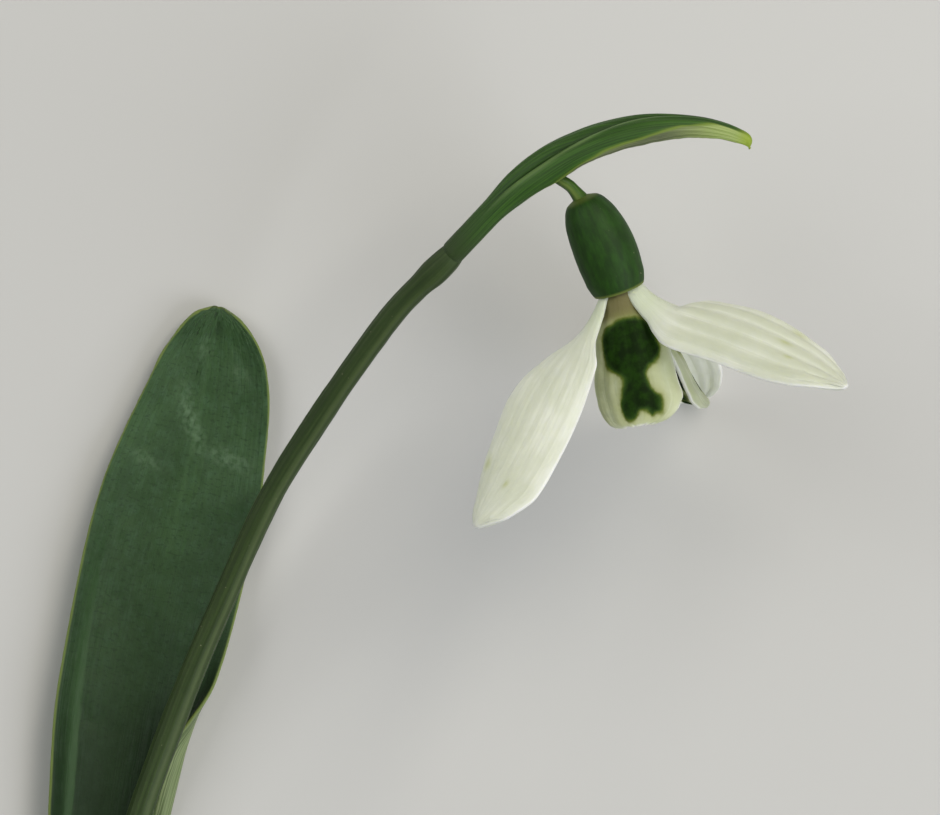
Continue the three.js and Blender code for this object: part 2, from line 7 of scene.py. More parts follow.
import bpy
import numpy as np
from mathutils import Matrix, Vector


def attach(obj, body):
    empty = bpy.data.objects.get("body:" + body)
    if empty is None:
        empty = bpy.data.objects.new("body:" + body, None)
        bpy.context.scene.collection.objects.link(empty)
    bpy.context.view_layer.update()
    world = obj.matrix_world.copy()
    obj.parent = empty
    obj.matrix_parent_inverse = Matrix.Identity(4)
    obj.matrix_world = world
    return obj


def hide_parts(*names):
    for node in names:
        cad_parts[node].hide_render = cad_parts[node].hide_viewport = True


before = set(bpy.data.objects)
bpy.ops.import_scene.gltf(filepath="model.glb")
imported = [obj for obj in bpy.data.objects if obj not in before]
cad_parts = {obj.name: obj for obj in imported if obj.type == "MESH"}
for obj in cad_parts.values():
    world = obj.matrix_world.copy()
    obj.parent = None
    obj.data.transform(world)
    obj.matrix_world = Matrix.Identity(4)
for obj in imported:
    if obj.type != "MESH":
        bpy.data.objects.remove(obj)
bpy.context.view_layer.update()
MM = 0.001

# %% [markdown]
# ## Smooth curves through a few stations
# Every shape here is driven by a handful of real sizes placed along a stalk or a petal. A smooth curve
# joins them. A spline could do that, but it swings past its points, so the slopes are chosen to stay
# between them.

# %% Curves through stations


def through(at, values, t, steady=True):
    """Cubic pieces between stations. Each slope is the harmonic mean of its neighbours' steps (0 at a peak)
    for a steady curve, or their weighted mean for a line in space."""
    at = np.asarray(at, float)
    values = np.asarray(values, float)
    t = np.clip(np.asarray(t, float), at[0], at[-1])
    gap = np.diff(at)
    step = np.diff(values) / gap
    slope = np.concatenate([step[:1], np.zeros(len(at) - 2), step[-1:]])
    if steady:
        same = step[:-1] * step[1:] > 0
        total = np.where(same, step[:-1] + step[1:], 1.0)
        slope[1:-1] = np.where(same, 2 * step[:-1] * step[1:] / total, 0.0)
    else:
        slope[1:-1] = (step[:-1] * gap[1:] + step[1:] * gap[:-1]) / (gap[:-1] + gap[1:])
    i = np.clip(np.searchsorted(at, t, side="right") - 1, 0, len(at) - 2)
    s = (t - at[i]) / gap[i]
    return (
        values[i] * (1 + 2 * s) * (1 - s) ** 2
        + slope[i] * gap[i] * s * (1 - s) ** 2
        + values[i + 1] * s**2 * (3 - 2 * s)
        + slope[i + 1] * gap[i] * s**2 * (s - 1)
    )


def stations(pairs, t):
    """The steady curve through (place, value) pairs."""
    return through([p[0] for p in pairs], [p[1] for p in pairs], t)


print("halfway through 0, 1, 4:", through([0, 1, 2], [0, 1, 4], [0.5, 1.5]).round(3))

# %% [markdown]
# ## Lines in space
# A stem or a midrib is a line through points in space. Each of its three coordinates is a smooth curve of
# its own, and the way it heads is the difference between a place just ahead and a place just behind.

# %% Lines in space
HEADING_STEP = 1e-4


def smoothstep(x):
    """0 below 0, 1 above 1, and 3x^2 - 2x^3 between."""
    x = np.clip(x, 0, 1)
    return x * x * (3 - 2 * x)


def unit(v):
    """Each vector divided by its length."""
    return v / np.maximum(np.linalg.norm(v, axis=-1, keepdims=True), 1e-12)


def dot(a, b):
    """Row by row sum of products, kept as a column."""
    return np.sum(a * b, axis=-1, keepdims=True)


def space_line(points, t):
    """Places and headings along a line through points, by fraction of the distance from point to point."""
    points = np.asarray(points, float)
    far = np.concatenate([[0], np.cumsum(np.linalg.norm(np.diff(points, axis=0), axis=1))])
    at = far / far[-1]

    def place(where):
        return np.stack([through(at, points[:, k], where, steady=False) for k in range(3)], axis=-1)

    ahead = place(np.minimum(t + HEADING_STEP, 1))
    behind = place(np.maximum(t - HEADING_STEP, 0))
    return place(t), unit(ahead - behind)


print("a straight line heads", space_line([[0, 0, 0], [0, 3, 4]], np.array([0.5]))[1][0].round(3))

# %% [markdown]
# ## Unevenness
# Nothing that grew is exact. Smooth random waves of a few hundredths of a millimetre keep a petal's surface
# from looking machined. They are worked out here as an array, so that they move the mesh itself. The seed
# is given each time, so that the flower comes out the same on every run.

# %% Unevenness
NOISE_TABLE = 64
NOISE_START = (17.3, 5.1)


def soft_noise(x, y, seed, octaves=3):
    """Smooth value noise from about -1 to 1: random values at whole numbers, joined by smoothstep, and each
    octave half the size and half the strength of the one before."""
    rng = np.random.default_rng(seed)
    total = np.zeros(np.broadcast(x, y).shape)
    for octave in range(octaves):
        table = rng.uniform(-1, 1, (NOISE_TABLE, NOISE_TABLE))
        px = np.asarray(x) * 2**octave + NOISE_START[0]
        py = np.asarray(y) * 2**octave + NOISE_START[1]
        ix, iy = np.floor(px).astype(int), np.floor(py).astype(int)
        fx, fy = smoothstep(px - ix), smoothstep(py - iy)
        ix, iy = ix % NOISE_TABLE, iy % NOISE_TABLE
        jx, jy = (ix + 1) % NOISE_TABLE, (iy + 1) % NOISE_TABLE
        near = table[ix, iy] * (1 - fx) + table[jx, iy] * fx
        far = table[ix, jy] * (1 - fx) + table[jx, jy] * fx
        total += (near * (1 - fy) + far * fy) / 2**octave
    return total


print("noise at three places:", soft_noise(np.array([0.2, 1.4, 2.9]), 0.0, 1).round(3))

# %% [markdown]
# ## From arrays to a mesh
# Each piece is handed over once: its points in millimetres, its faces, a place on its own surface for every
# point, and a few numbers per point that say where a colour goes. The numbers ride on the mesh as
# attributes, so a mark can follow a formula. A painted image could do that too, but it has to be drawn and
# stored.

# %% From arrays to a mesh


def make_piece(name, points, faces, uv, attributes, node, material):
    """Puts millimetre points into a mesh in metres, with a UV and float attributes per point."""
    mesh = bpy.data.meshes.new(name)
    mesh.from_pydata((points * MM).tolist(), [], faces)
    mesh.polygons.foreach_set("use_smooth", np.ones(len(mesh.polygons), bool))
    corners = np.empty(len(mesh.loops), int)
    mesh.loops.foreach_get("vertex_index", corners)
    layer = mesh.uv_layers.new(name="surface")
    layer.data.foreach_set("uv", uv[corners].astype(np.float32).ravel())
    for label, values in attributes.items():
        marks = mesh.attributes.new(label, "FLOAT", "POINT")
        marks.data.foreach_set("value", values.astype(np.float32).ravel())
    mesh.validate()
    mesh.update()
    piece = bpy.data.objects.new(name, mesh)
    bpy.context.scene.collection.objects.link(piece)
    mesh.materials.append(material)
    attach(piece, "root")
    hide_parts(node)
    print(f"{name}: {len(points)} points, {len(mesh.polygons)} faces")
    return piece


def grid_faces(rows, columns, closed=False):
    """Four-sided faces of a grid of points, wrapped round its columns if closed."""
    last = columns if closed else columns - 1
    i, j = np.meshgrid(np.arange(rows - 1), np.arange(last), indexing="ij")
    k = (j + 1) % columns
    a, b, c, d = i * columns + j, i * columns + k, (i + 1) * columns + k, (i + 1) * columns + j
    return np.stack([a, b, c, d], axis=-1).reshape(-1, 4)


def grid_normals(grid):
    """Cross product of the steps across and along the grid."""
    down = np.gradient(grid, axis=0)
    across = np.gradient(grid, axis=1)
    return unit(np.cross(across, down))


def signed_volume(points, faces):
    """Sum over the faces' triangles of corner . (corner x corner) / 6."""
    a, b, c, d = (points[faces[:, k]] for k in range(4))
    one = np.einsum("ij,ij->i", a, np.cross(b, c)).sum()
    two = np.einsum("ij,ij->i", a, np.cross(c, d)).sum()
    return (one + two) / 6


print("a ring of 4 has", len(grid_faces(2, 4, closed=True)), "side faces")

# %% [markdown]
# ## Blades
# Leaf, hood and petals are blades: a middle surface on a grid, moved half its thickness to either side
# along its normals, and closed by a strip round its edge. A Solidify modifier could thicken a sheet too,
# but here the thickness varies from place to place and thins out at the margin.

# %% Blades


def blade(name, grid, thickness, node, material, t, u, attributes, floor=None, rise=0.0):
    """A closed blade: grid +- thickness / 2 along its normals, joined round the edge. Its lower side, the one
    whose normals point down on the whole, gets the attribute under."""
    rows, columns = grid.shape[:2]
    normal = grid_normals(grid)
    lift = np.array([0, 0, rise])
    sides = [grid + side * 0.5 * thickness[..., None] * normal + lift for side in (1, -1)]
    points = np.concatenate([s.reshape(-1, 3) for s in sides])
    if floor is not None:
        points[:, 2] = np.maximum(points[:, 2], floor)
    quads = grid_faces(rows, columns)
    half = rows * columns
    rim = np.concatenate([
        np.arange(columns - 1),
        np.arange(rows - 1) * columns + columns - 1,
        (rows - 1) * columns + np.arange(columns - 1, 0, -1),
        np.arange(rows - 1, 0, -1) * columns,
    ])
    after = np.roll(rim, -1)
    strip = np.stack([rim, rim + half, after + half, after], axis=-1)
    faces = np.concatenate([quads, quads[:, ::-1] + half, strip])
    if signed_volume(points, faces) < 0:
        faces = faces[:, ::-1]
    tt, uu = np.broadcast_arrays(t[:, None], u[None])
    uv = np.tile(np.stack([uu.ravel() * 0.5 + 0.5, tt.ravel()], axis=-1), (2, 1))
    extra = {k: np.tile(v.ravel(), 2) for k, v in attributes.items()}
    extra["under"] = np.repeat([0.0, 1.0] if normal[..., 2].mean() > 0 else [1.0, 0.0], half)
    return make_piece(name, points, faces.tolist(), uv, extra, node, material)


print("a blade of 3 by 3 points has", 2 * len(grid_faces(3, 3)) + 8, "faces")

# %% [markdown]
# ## Rods
# Stem, stalk, ovary, stamens and style are rods: rings along a line, round or oval, with a flat cap of
# small faces at each end. A curve with a bevel could make a round rod, but not the ribs and the two-sided
# anthers.

# %% Rods


def rod(name, points_line, t, angles, wide, deep, reference, node, material, attributes):
    """Rings centre + side wide cos(angle) + up deep sin(angle) along a line, capped at each end."""
    centre, heading = space_line(points_line, t)
    side = unit(np.cross(heading, reference))
    up = np.cross(side, heading)
    grid = (
        centre[:, None]
        + side[:, None] * (wide * np.cos(angles)[None])[..., None]
        + up[:, None] * (deep * np.sin(angles)[None])[..., None]
    )
    rows, columns = grid.shape[:2]
    caps = [np.broadcast_to(grid[row].mean(axis=0), (columns, 3)) for row in (0, -1)]
    inner = [caps[0] * 0.5 + grid[0] * 0.5, caps[1] * 0.5 + grid[-1] * 0.5]
    grid = np.concatenate([inner[0][None], grid, inner[1][None]])
    rows += 2
    points = np.concatenate([grid.reshape(-1, 3), caps[0][:1], caps[1][:1]])
    faces = grid_faces(rows, columns, closed=True)
    ring = np.arange(columns)
    after = np.roll(ring, -1)
    foot = np.stack([np.full(columns, rows * columns), after, ring], axis=-1)
    last = (rows - 1) * columns
    tip = np.stack([np.full(columns, rows * columns + 1), last + ring, last + after], axis=-1)
    if signed_volume(points, faces) < 0:
        faces, foot, tip = faces[:, ::-1], foot[:, ::-1], tip[:, ::-1]
    tt = np.concatenate([[t[0]], t, [t[-1]]])
    uv = np.stack(np.broadcast_arrays(angles[None] / (2 * np.pi), tt[:, None]), axis=-1).reshape(-1, 2)
    uv = np.concatenate([uv, [[0.5, t[0]], [0.5, t[-1]]]])
    extra = {}
    for label, v in attributes.items():
        v = np.concatenate([v[:1], v, v[-1:]]).ravel()
        extra[label] = np.concatenate([v, [v[0], v[-1]]])
    every = faces.tolist() + foot.tolist() + tip.tolist()
    return make_piece(name, points, every, uv, extra, node, material)


def ring_angles(sides):
    """Evenly spaced angles round a ring."""
    return np.arange(sides) * 2 * np.pi / sides


print("angles of a ring of 4:", np.degrees(ring_angles(4)))

# %% [markdown]
# ## Colours and nodes
# Colours are written as they look on a screen and turned to the linear values that light adds up in.

# %% Colours and nodes


def linear(code, alpha=1.0):
    """sRGB hex to linear: c / 12.92 below 0.04045, else ((c + 0.055) / 1.055) ^ 2.4."""
    parts = [int(code[k : k + 2], 16) / 255 for k in (1, 3, 5)]
    return tuple(c / 12.92 if c <= 0.04045 else ((c + 0.055) / 1.055) ** 2.4 for c in parts) + (alpha,)


print("pale cream in linear light:", [round(c, 3) for c in linear("#eceee0")])


def add(tree, kind, settings=None, links=None):
    """Adds a node, sets its own settings or its inputs' values, and links outputs to its inputs."""
    node = tree.nodes.new(kind)
    for key, value in (settings or {}).items():
        if isinstance(key, str) and hasattr(node, key):
            setattr(node, key, value)
        else:
            node.inputs[key].default_value = value
    for key, socket in (links or {}).items():
        tree.links.new(socket, node.inputs[key])
    return node


def new_material(name):
    """An empty node material and its tree."""
    material = bpy.data.materials.new(name)
    material.use_nodes = True
    material.node_tree.nodes.clear()
    return material, material.node_tree


def blend(tree, factor, one, other):
    """Mixes two colours, each a socket or a hex code."""
    node = add(tree, "ShaderNodeMix", {"data_type": "RGBA"}, {0: factor})
    for socket, value in ((node.inputs[6], one), (node.inputs[7], other)):
        if isinstance(value, str):
            socket.default_value = linear(value)
        else:
            tree.links.new(value, socket)
    return node.outputs[2]


def math(tree, operation, *values):
    """One sum on values, each a socket or a number."""
    node = add(tree, "ShaderNodeMath", {"operation": operation})
    for k, value in enumerate(values):
        if isinstance(value, (int, float)):
            node.inputs[k].default_value = value
        else:
            tree.links.new(value, node.inputs[k])
    return node.outputs[0]


def finish_material(tree, settings, links):
    """The surface shader and the output."""
    shader = add(tree, "ShaderNodeBsdfPrincipled", settings, links)
    add(tree, "ShaderNodeOutputMaterial", None, {"Surface": shader.outputs["BSDF"]})


# %% [markdown]
# ## Patterns and marks
# A finish is a few layers: a pattern of stripes or mottling, marks laid over it where the mesh says so, and
# a shallow relief that catches the light. Each helper adds one such layer. Pattern sizes are real
# millimetres, or a number of features across and along the piece where a pattern has to follow its growth.

# %% Patterns and marks


def attribute(tree, name):
    """The value of a float attribute at each point of the surface."""
    return add(tree, "ShaderNodeAttribute", {"attribute_name": name}).outputs["Fac"]


def paint(tree, base, marks):
    """Lays colours over a base one after another, each where the attribute of its name says so."""
    for name, colour in marks.items():
        base = blend(tree, attribute(tree, name), base, colour)
    return base


def ramp(tree, value, low, high, top=1.0):
    """0 at low, top at high, smooth between."""
    settings = {"interpolation_type": "SMOOTHSTEP", "From Min": low, "From Max": high, "To Max": top}
    return add(tree, "ShaderNodeMapRange", settings, {"Value": value}).outputs["Result"]


def grain(tree, place, scale, detail, roughness, shift=0.0):
    """Noise on coordinates, scaled along each axis and shifted."""
    settings = {"Scale": scale, "Location": (shift, shift, shift)}
    mapped = add(tree, "ShaderNodeMapping", settings, {"Vector": place}).outputs["Vector"]
    settings = {"Scale": 1.0, "Detail": detail, "Roughness": roughness}
    return add(tree, "ShaderNodeTexNoise", settings, {"Vector": mapped}).outputs["Fac"]


def noise(tree, size_mm, detail=4):
    """Noise on Object coordinates with a feature size in millimetres."""
    place = add(tree, "ShaderNodeTexCoord").outputs["Object"]
    return grain(tree, place, (1 / (size_mm * MM),) * 3, detail, 0.55)


def surface_noise(tree, across, along, detail=3, roughness=0.5, shift=0.0):
    """Noise on the piece's own UV, with so many features across it and along it."""
    uv = add(tree, "ShaderNodeUVMap", {"uv_map": "surface"}).outputs["UV"]
    return grain(tree, uv, (across, along, 1), detail, roughness, shift)


def bump(tree, height, depth_mm, strength=1.0, under=None):
    """A bump whose full height is depth_mm."""
    links = {"Height": height}
    if under is not None:
        links["Normal"] = under
    settings = {"Strength": strength, "Distance": depth_mm * MM}
    return add(tree, "ShaderNodeBump", settings, links).outputs["Normal"]


print("a pattern of 0.5 mm repeats", round(1 / (0.5 * MM)), "times in a metre")

# %% [markdown]
# ## The petal's finish
# A snowdrop petal is soft tissue full of air spaces, which scatter light inside it: a chalky, slightly cool
# white with a green tint in the shade, fine ribs along it, and tiny cells that give a faint sparkle. Light
# that passes through a little is subsurface scattering of about a millimetre, and a plain paint has none.

# %% Petal materials
RIBS_ACROSS = 26
# Real skin cells are about 0.05 mm wide, too fine for the picture, so they are drawn as coarse as this.
CELL_MM = 0.22
CLOUD_MM = 3.5
MARK_MOTTLE_MM = 0.9


def petal_material(name, white, shade, painted_rib_shade, claw):
    """White petal tissue: painted shade in the hollows between ribs, a painted rim light along the edges, a
    tint at the foot that is partly painted shade on the inner petals, faint yellow-green streaks, and the
    green mark with its olive edge."""
    material, tree = new_material(name)
    ribs = surface_noise(tree, RIBS_ACROSS, 1.6, detail=2)
    cells = noise(tree, CELL_MM, detail=2)
    clouds = noise(tree, CLOUD_MM, detail=3)
    base = blend(tree, ramp(tree, clouds, 0.25, 0.8), shade, white)
    # Painted shade: where the rib pattern is low, in the hollows of its bump, the petal takes the shade
    # colour.
    base = blend(tree, ramp(tree, ribs, 0.62, 0.36, top=0.4), base, shade)
    # Over the base: painted shade between the ribs, a painted rim light along the edges, the tint at the
    # foot, streaks and the halo.
    marks = {"painted_rib_shade": painted_rib_shade, "painted_rim_light": "#f6f7ee", "claw": claw, "streak": "#a9b04a", "halo": "#8b9150"}
    base = paint(tree, base, marks)
    mark = attribute(tree, "mark")
    olive = blend(tree, ramp(tree, mark, 0.0, 0.45), base, "#6b7626")
    green = blend(tree, ramp(tree, mark, 0.15, 0.7), olive, "#2b480a")
    dark = blend(tree, ramp(tree, noise(tree, MARK_MOTTLE_MM, detail=4), 0.35, 0.7), "#0d1f02", "#193404")
    core = blend(tree, ramp(tree, mark, 0.5, 1.0), green, dark)
    unmarked = math(tree, "SUBTRACT", 1.0, mark)
    ribbed = bump(tree, ribs, 0.12, 0.55)
    normal = bump(tree, cells, 0.02, 0.35, ribbed)
    finish_material(
        tree,
        {
            "Roughness": 0.58,
            "IOR": 1.4,
            "Subsurface Radius": (1.0, 1.0, 0.7),
            "Subsurface Scale": 0.0015,
            "Sheen Roughness": 0.5,
        },
        {
            "Base Color": core,
            "Normal": normal,
            "Subsurface Weight": math(tree, "MULTIPLY", unmarked, 0.55),
            "Specular IOR Level": math(tree, "MULTIPLY_ADD", unmarked, 0.25, 0.1),
            "Sheen Weight": math(tree, "MULTIPLY", unmarked, 0.12),
        },
    )
    return material


outer_petal = petal_material("outer_petal_tissue", "#e6eadc", "#d4d9c6", "#bcc1a9", "#c6d1b2")
# The inner petals' darker, greener whites and olive-brown claw are partly painted shade, as they sit in the
# cup under the outer petals.
inner_petal = petal_material("inner_petal_tissue_partly_shaded", "#cbd1b6", "#b3ba97", "#a9ae84", "#665e2a")
print("petal materials made")

# %% [markdown]
# ## Green finishes
# The stem, stalk and ovary are living green skin under a thin wax. The skin is smooth, so its highlights
# are soft stripes, and chlorophyll shows as mottling along the growth direction. One material serves all
# three, with other colours and other numbers of stripes.

# %% Green skin
MOTTLE_MM = 0.8
SPECK_MM = 0.35
# Real pores are a few hundredths of a millimetre long, too fine for the picture, so they are coarser here.
PORE_MM = 0.18


def green_skin(name, dark, light, rim, across, along, roughness=0.42, relief_mm=0.08, sheen=0.1):
    """Waxy green skin: stripes along it, mottling, pale specks, and a rim colour at the attribute rim: a
    painted highlight along one side of the stem and the stalk, the stem's cut foot, and the ovary's paler
    ends.
    """
    material, tree = new_material(name)
    stripes = surface_noise(tree, across, along, detail=4, roughness=0.6)
    mottle = noise(tree, MOTTLE_MM, detail=5)
    base = blend(tree, ramp(tree, stripes, 0.3, 0.72), dark, light)
    base = blend(tree, ramp(tree, mottle, 0.45, 0.75, top=0.35), base, dark)
    specks = ramp(tree, noise(tree, SPECK_MM, detail=1), 0.76, 0.84, top=0.4)
    base = blend(tree, specks, base, "#c9c4a0")
    # The rim colour: a painted highlight on the stem and the stalk, the stem's cut foot, and the ovary's
    # paler ends.
    base = paint(tree, base, {"rim": rim})
    ridged = bump(tree, stripes, relief_mm, 0.5)
    normal = bump(tree, noise(tree, PORE_MM, detail=2), 0.015, 0.4, ridged)
    finish_material(
        tree,
        {
            "Roughness": roughness,
            "IOR": 1.42,
            "Subsurface Weight": 0.12,
            "Subsurface Radius": (0.4, 0.8, 0.2),
            "Subsurface Scale": 0.0008,
            "Specular IOR Level": 0.35,
            "Sheen Weight": sheen,
            "Sheen Roughness": 0.35,
        },
        {"Base Color": base, "Normal": normal},
    )
    return material


scape_skin = green_skin("stem_skin", "#2a3b1a", "#3b4d25", "#5b6a40", 18, 5, roughness=0.55, sheen=0.04)
stalk_skin = green_skin("stalk_skin", "#2b480f", "#496b20", "#86994f", 14, 4)
ovary_skin = green_skin(
    "ovary_skin", "#163303", "#214706", "#74803a", 30, 5, roughness=0.6, relief_mm=0.03, sheen=0.04
)
print("green skins made")

# %% [markdown]
# ## The leaf's finish
# A snowdrop's leaf is greyer than its stem, because its wax is thick enough to look like the bloom on a
# grape, and the wax rubs off in pale scuffs. Veins run along it and fine cross marks between them, so two
# patterns follow the leaf's own surface, one drawn out along it and the other across it.

# %% The leaf's material
VEINS_ACROSS = 90
BROAD_MM = 7


def leaf_material():
    """Waxed leaf: veins along it, cross mottling, margin, midrib, scuffs and a darker foot."""
    material, tree = new_material("waxed_leaf")
    veins = surface_noise(tree, VEINS_ACROSS, 3, detail=3, roughness=0.6)
    mottle = surface_noise(tree, 16, 60, detail=5, roughness=0.65, shift=3.0)
    broad = noise(tree, BROAD_MM, detail=3)
    base = blend(tree, ramp(tree, broad, 0.3, 0.7), "#28451f", "#3a5930")
    base = blend(tree, ramp(tree, mottle, 0.42, 0.68, top=0.35), base, "#48684a")
    base = blend(tree, ramp(tree, veins, 0.6, 0.38, top=0.35), base, "#2a4424")
    flecks = surface_noise(tree, 30, 260, detail=3, shift=7.0)
    base = blend(tree, ramp(tree, flecks, 0.52, 0.68, top=0.5), base, "#1c3316")
    marks = {"foot": "#0f2407", "crease": "#3a5731", "midrib": "#587a4e", "tip_shade": "#142a0c"}
    base = paint(tree, base, marks)
    broken = ramp(tree, surface_noise(tree, 22, 110, detail=6), 0.3, 0.72)
    rubbed = math(tree, "MULTIPLY", attribute(tree, "scuff"), broken)
    base = blend(tree, rubbed, base, "#64805f")
    underside = blend(tree, ramp(tree, veins, 0.35, 0.65), "#56683f", "#8a9a6c")
    base = paint(tree, base, {"under": underside, "margin": "#71823f"})
    ridged = bump(tree, veins, 0.1, 0.5)
    normal = bump(tree, mottle, 0.05, 0.4, ridged)
    finish_material(
        tree,
        {
            "Roughness": 0.55,
            "IOR": 1.42,
            "Subsurface Weight": 0.08,
            "Subsurface Radius": (0.3, 0.8, 0.2),
            "Subsurface Scale": 0.0008,
            "Specular IOR Level": 0.35,
            "Sheen Weight": 0.1,
            "Sheen Roughness": 0.4,
        },
        {"Base Color": base, "Normal": normal},
    )
    return material


leaf_skin = leaf_material()
print("leaf material made")

# %% [markdown]
# ## The hood's finish
# The hood is two fresh green keels with a membrane between them that has dried to a thin, greyish film. Its
# tip stays fresh and yellow-green. Each part has its own colour, laid on by the marks that come with the
# shape. Painted shade darkens the groove, and painted highlights lighten the raised line beside it and the
# membrane's lower edges.

# %% The hood's material
STRIPES_ACROSS = 70
FILM_GRAIN_MM = 0.25


def spathe_material():
    """Two green keels joined by a thin pale membrane, with a yellow-green tip."""
    material, tree = new_material("spathe_keels_and_membrane")
    stripes = surface_noise(tree, STRIPES_ACROSS, 3, detail=4, roughness=0.6)
    dry = blend(tree, ramp(tree, stripes, 0.35, 0.65), "#4f583b", "#6d7653")
    fresh = blend(tree, ramp(tree, stripes, 0.35, 0.65), "#7d9146", "#a9b974")
    keel = blend(tree, ramp(tree, stripes, 0.3, 0.75), "#22400f", "#3d651c")
    marks = {
        "fresh": fresh,
        "keel": keel,
        "foot": "#2f411d",
        "seam": "#7f9436",
        # Painted highlight on the raised line beside the groove.
        "painted_ridge_highlight": "#84a062",
        # Painted shade in the groove.
        "groove": "#1d3512",
        # Painted highlight along the membrane's lower edges.
        "painted_hem_highlight": "#c3c7a6",
        "tip": "#93a82f",
    }
    base = paint(tree, dry, marks)
    ridged = bump(tree, stripes, 0.12, 0.6)
    normal = bump(tree, noise(tree, FILM_GRAIN_MM, detail=2), 0.02, 0.4, ridged)
    finish_material(
        tree,
        {
            "Roughness": 0.5,
            "IOR": 1.42,
            "Specular IOR Level": 0.4,
            "Subsurface Weight": 0.25,
            "Subsurface Radius": (0.6, 0.8, 0.3),
            "Subsurface Scale": 0.001,
        },
        {"Base Color": base, "Normal": normal},
    )
    return material


spathe_skin = spathe_material()
print("hood material made")

# %% [markdown]
# ## Pollen and style
# The anthers are matt orange sacs with a grain of pollen, on white threads, and the style is a pale green
# thread. Both are soft and dull, so one grainy material serves them, with a white where the thread is.

# %% Pollen and style


def grainy(name, dark, light, grain_mm):
    """Matt tissue with a fine grain, such as pollen sacs."""
    material, tree = new_material(name)
    grains = noise(tree, grain_mm, detail=3)
    base = blend(tree, ramp(tree, grains, 0.3, 0.7), dark, light)
    base = paint(tree, base, {"thread": "#e9ecd9"})
    finish_material(
        tree,
        {"Roughness": 0.7, "IOR": 1.45, "Subsurface Weight": 0.15, "Subsurface Scale": 0.0005},
        {"Base Color": base, "Normal": bump(tree, grains, 0.05, 0.6)},
    )
    return material


anther_skin = grainy("pollen_sacs", "#c06e12", "#eda63a", 0.25)
style_skin = grainy("style_tissue", "#bccd92", "#dfe6c0", 0.3)
print("pollen and style materials made")

# %% [markdown]
# ## The stem
# A snowdrop's stem is a smooth round rod, a little stouter at the foot, that rises from the table and ends
# in a raised ring where the hood begins. It is rings along a line through twelve points, of which the last
# lies inside the hood, so that no gap shows between them. Fine ribs run along it, so the radius rises and
# falls a few hundredths of a millimetre round the ring, and the cut foot is flat.

# %% The stem
SCAPE_LINE = [
    [-33.6, -43.4, 2.5],
    [-31.0, -31.7, 2.9],
    [-27.9, -19.6, 3.6],
    [-25.2, -12.1, 4.6],
    [-23.0, -6.5, 5.7],
    [-20.3, -0.2, 7.3],
    [-15.5, 10.1, 11.0],
    [-12.1, 15.5, 13.6],
    [-8.4, 20.9, 16.6],
    [-4.3, 26.3, 19.7],
    [0.1, 30.6, 22.68],
    [1.0, 31.55, 23.1],
]
SCAPE_RADIUS = [
    [0, 1.2], [0.345, 1.14], [0.59, 1.08], [0.935, 1.08],
    [0.962, 1.25], [0.975, 1.21], [0.984, 1.14], [1, 0.8],
]
TOWARDS_VIEWER = np.array([0.0, 0.0, 1.0])
SCAPE_SIDES = 72
SCAPE_RIBS = 13
SCAPE_RIB_MM = 0.018
SCAPE_WAVE_MM = 0.03


def make_scape():
    """Radius = the station curve + fine ribs + slow waves. A painted highlight runs along one side of it, and
    the cut foot takes the rim colour.
    """
    t = np.concatenate([np.linspace(0, 0.95, 260), np.linspace(0.953, 1, 30)])
    angles = ring_angles(SCAPE_SIDES)
    ribs = SCAPE_RIB_MM * np.cos(SCAPE_RIBS * angles)[None]
    waves = SCAPE_WAVE_MM * soft_noise(t[:, None] * 30, np.sin(angles)[None] * 2, 3)
    radius = stations(SCAPE_RADIUS, t)[:, None] + ribs + waves
    # Painted highlight: a paler line along one side, fading out towards the hood; the first ring, at the cut
    # foot, takes the rim colour in full.
    rim = 0.5 * np.exp(-(((angles[None] - 1.0) / 0.22) ** 2)) * smoothstep((1 - t) / 0.15)[:, None]
    rim[0] = 1.0
    return rod(
        "stem", SCAPE_LINE, t, angles, radius, radius, TOWARDS_VIEWER,
        "scape", scape_skin, {"rim": rim},
    )


make_scape()

# %% [markdown]
# ## The leaf
# One strap leaf lies on its back, so its keel rests on the table and both wings rise from the midrib. On
# the left the outer strip turns up along a crease, and at the foot the right margin folds over beside the
# stem and shows its pale, striped back. Each side is a path that starts at the midrib's slope and turns
# further up past a given fraction of its width, added up step by step.

# %% The leaf's sizes
LEAF_LINE = [
    [-33.7, -43.5, 0],
    [-32.3, -31.7, 0],
    [-30.0, -19.6, 0],
    [-28.2, -9.2, 0],
    [-26.4, -0.2, 0],
    [-24.3, 8.8, 0],
    [-22.4, 17.8, 0],
    [-21.4, 23.2, 0.3],
    [-20.8, 26.2, 1.0],
]
# For each side, along the leaf: its width in millimetres, its slope by the midrib and how much further it
# turns up, in degrees. The turn happens between two fractions of the width.
LEAF_SIDES = {
    "left": {
        "width": [
            [0, 4.2], [0.167, 5.5], [0.342, 7.2], [0.49, 8.15], [0.62, 8.2], [0.75, 7.55],
            [0.82, 6.6], [0.88, 5.5], [0.93, 4.5], [0.957, 3.6], [0.985, 2.3], [1, 0.3],
        ],
        "slope": [[0, 25], [0.342, 14], [0.62, 12], [0.75, 15], [0.88, 18], [1, 22]],
        "turn": [[0, 75], [0.167, 60], [0.342, 40], [0.62, 35], [0.75, 12], [0.88, 6], [1, 15]],
        "turns_between": (0.58, 0.8),
    },
    "right": {
        "width": [
            [0, 3.8], [0.167, 5.0], [0.342, 7.0], [0.49, 7.7], [0.62, 7.8], [0.75, 7.6],
            [0.82, 7.1], [0.88, 6.6], [0.93, 5.7], [0.957, 4.7], [0.985, 2.7], [1, 0.3],
        ],
        "slope": [[0, 25], [0.342, 8], [0.62, 14], [0.88, 18], [1, 22]],
        "turn": [
            [0, 75], [0.167, 105], [0.342, 175], [0.42, 150], [0.47, 95],
            [0.53, 45], [0.62, 20], [0.75, 8], [0.88, 6], [1, 15],
        ],
        "turns_between": (0.5, 0.9),
    },
}
SLOPE_REACHED_AT = 0.3
LEAF_THICK_MIDDLE = 0.9
LEAF_THICK_MARGIN = 0.6
LEAF_SINK = 0.2
LEAF_STEPS = 400


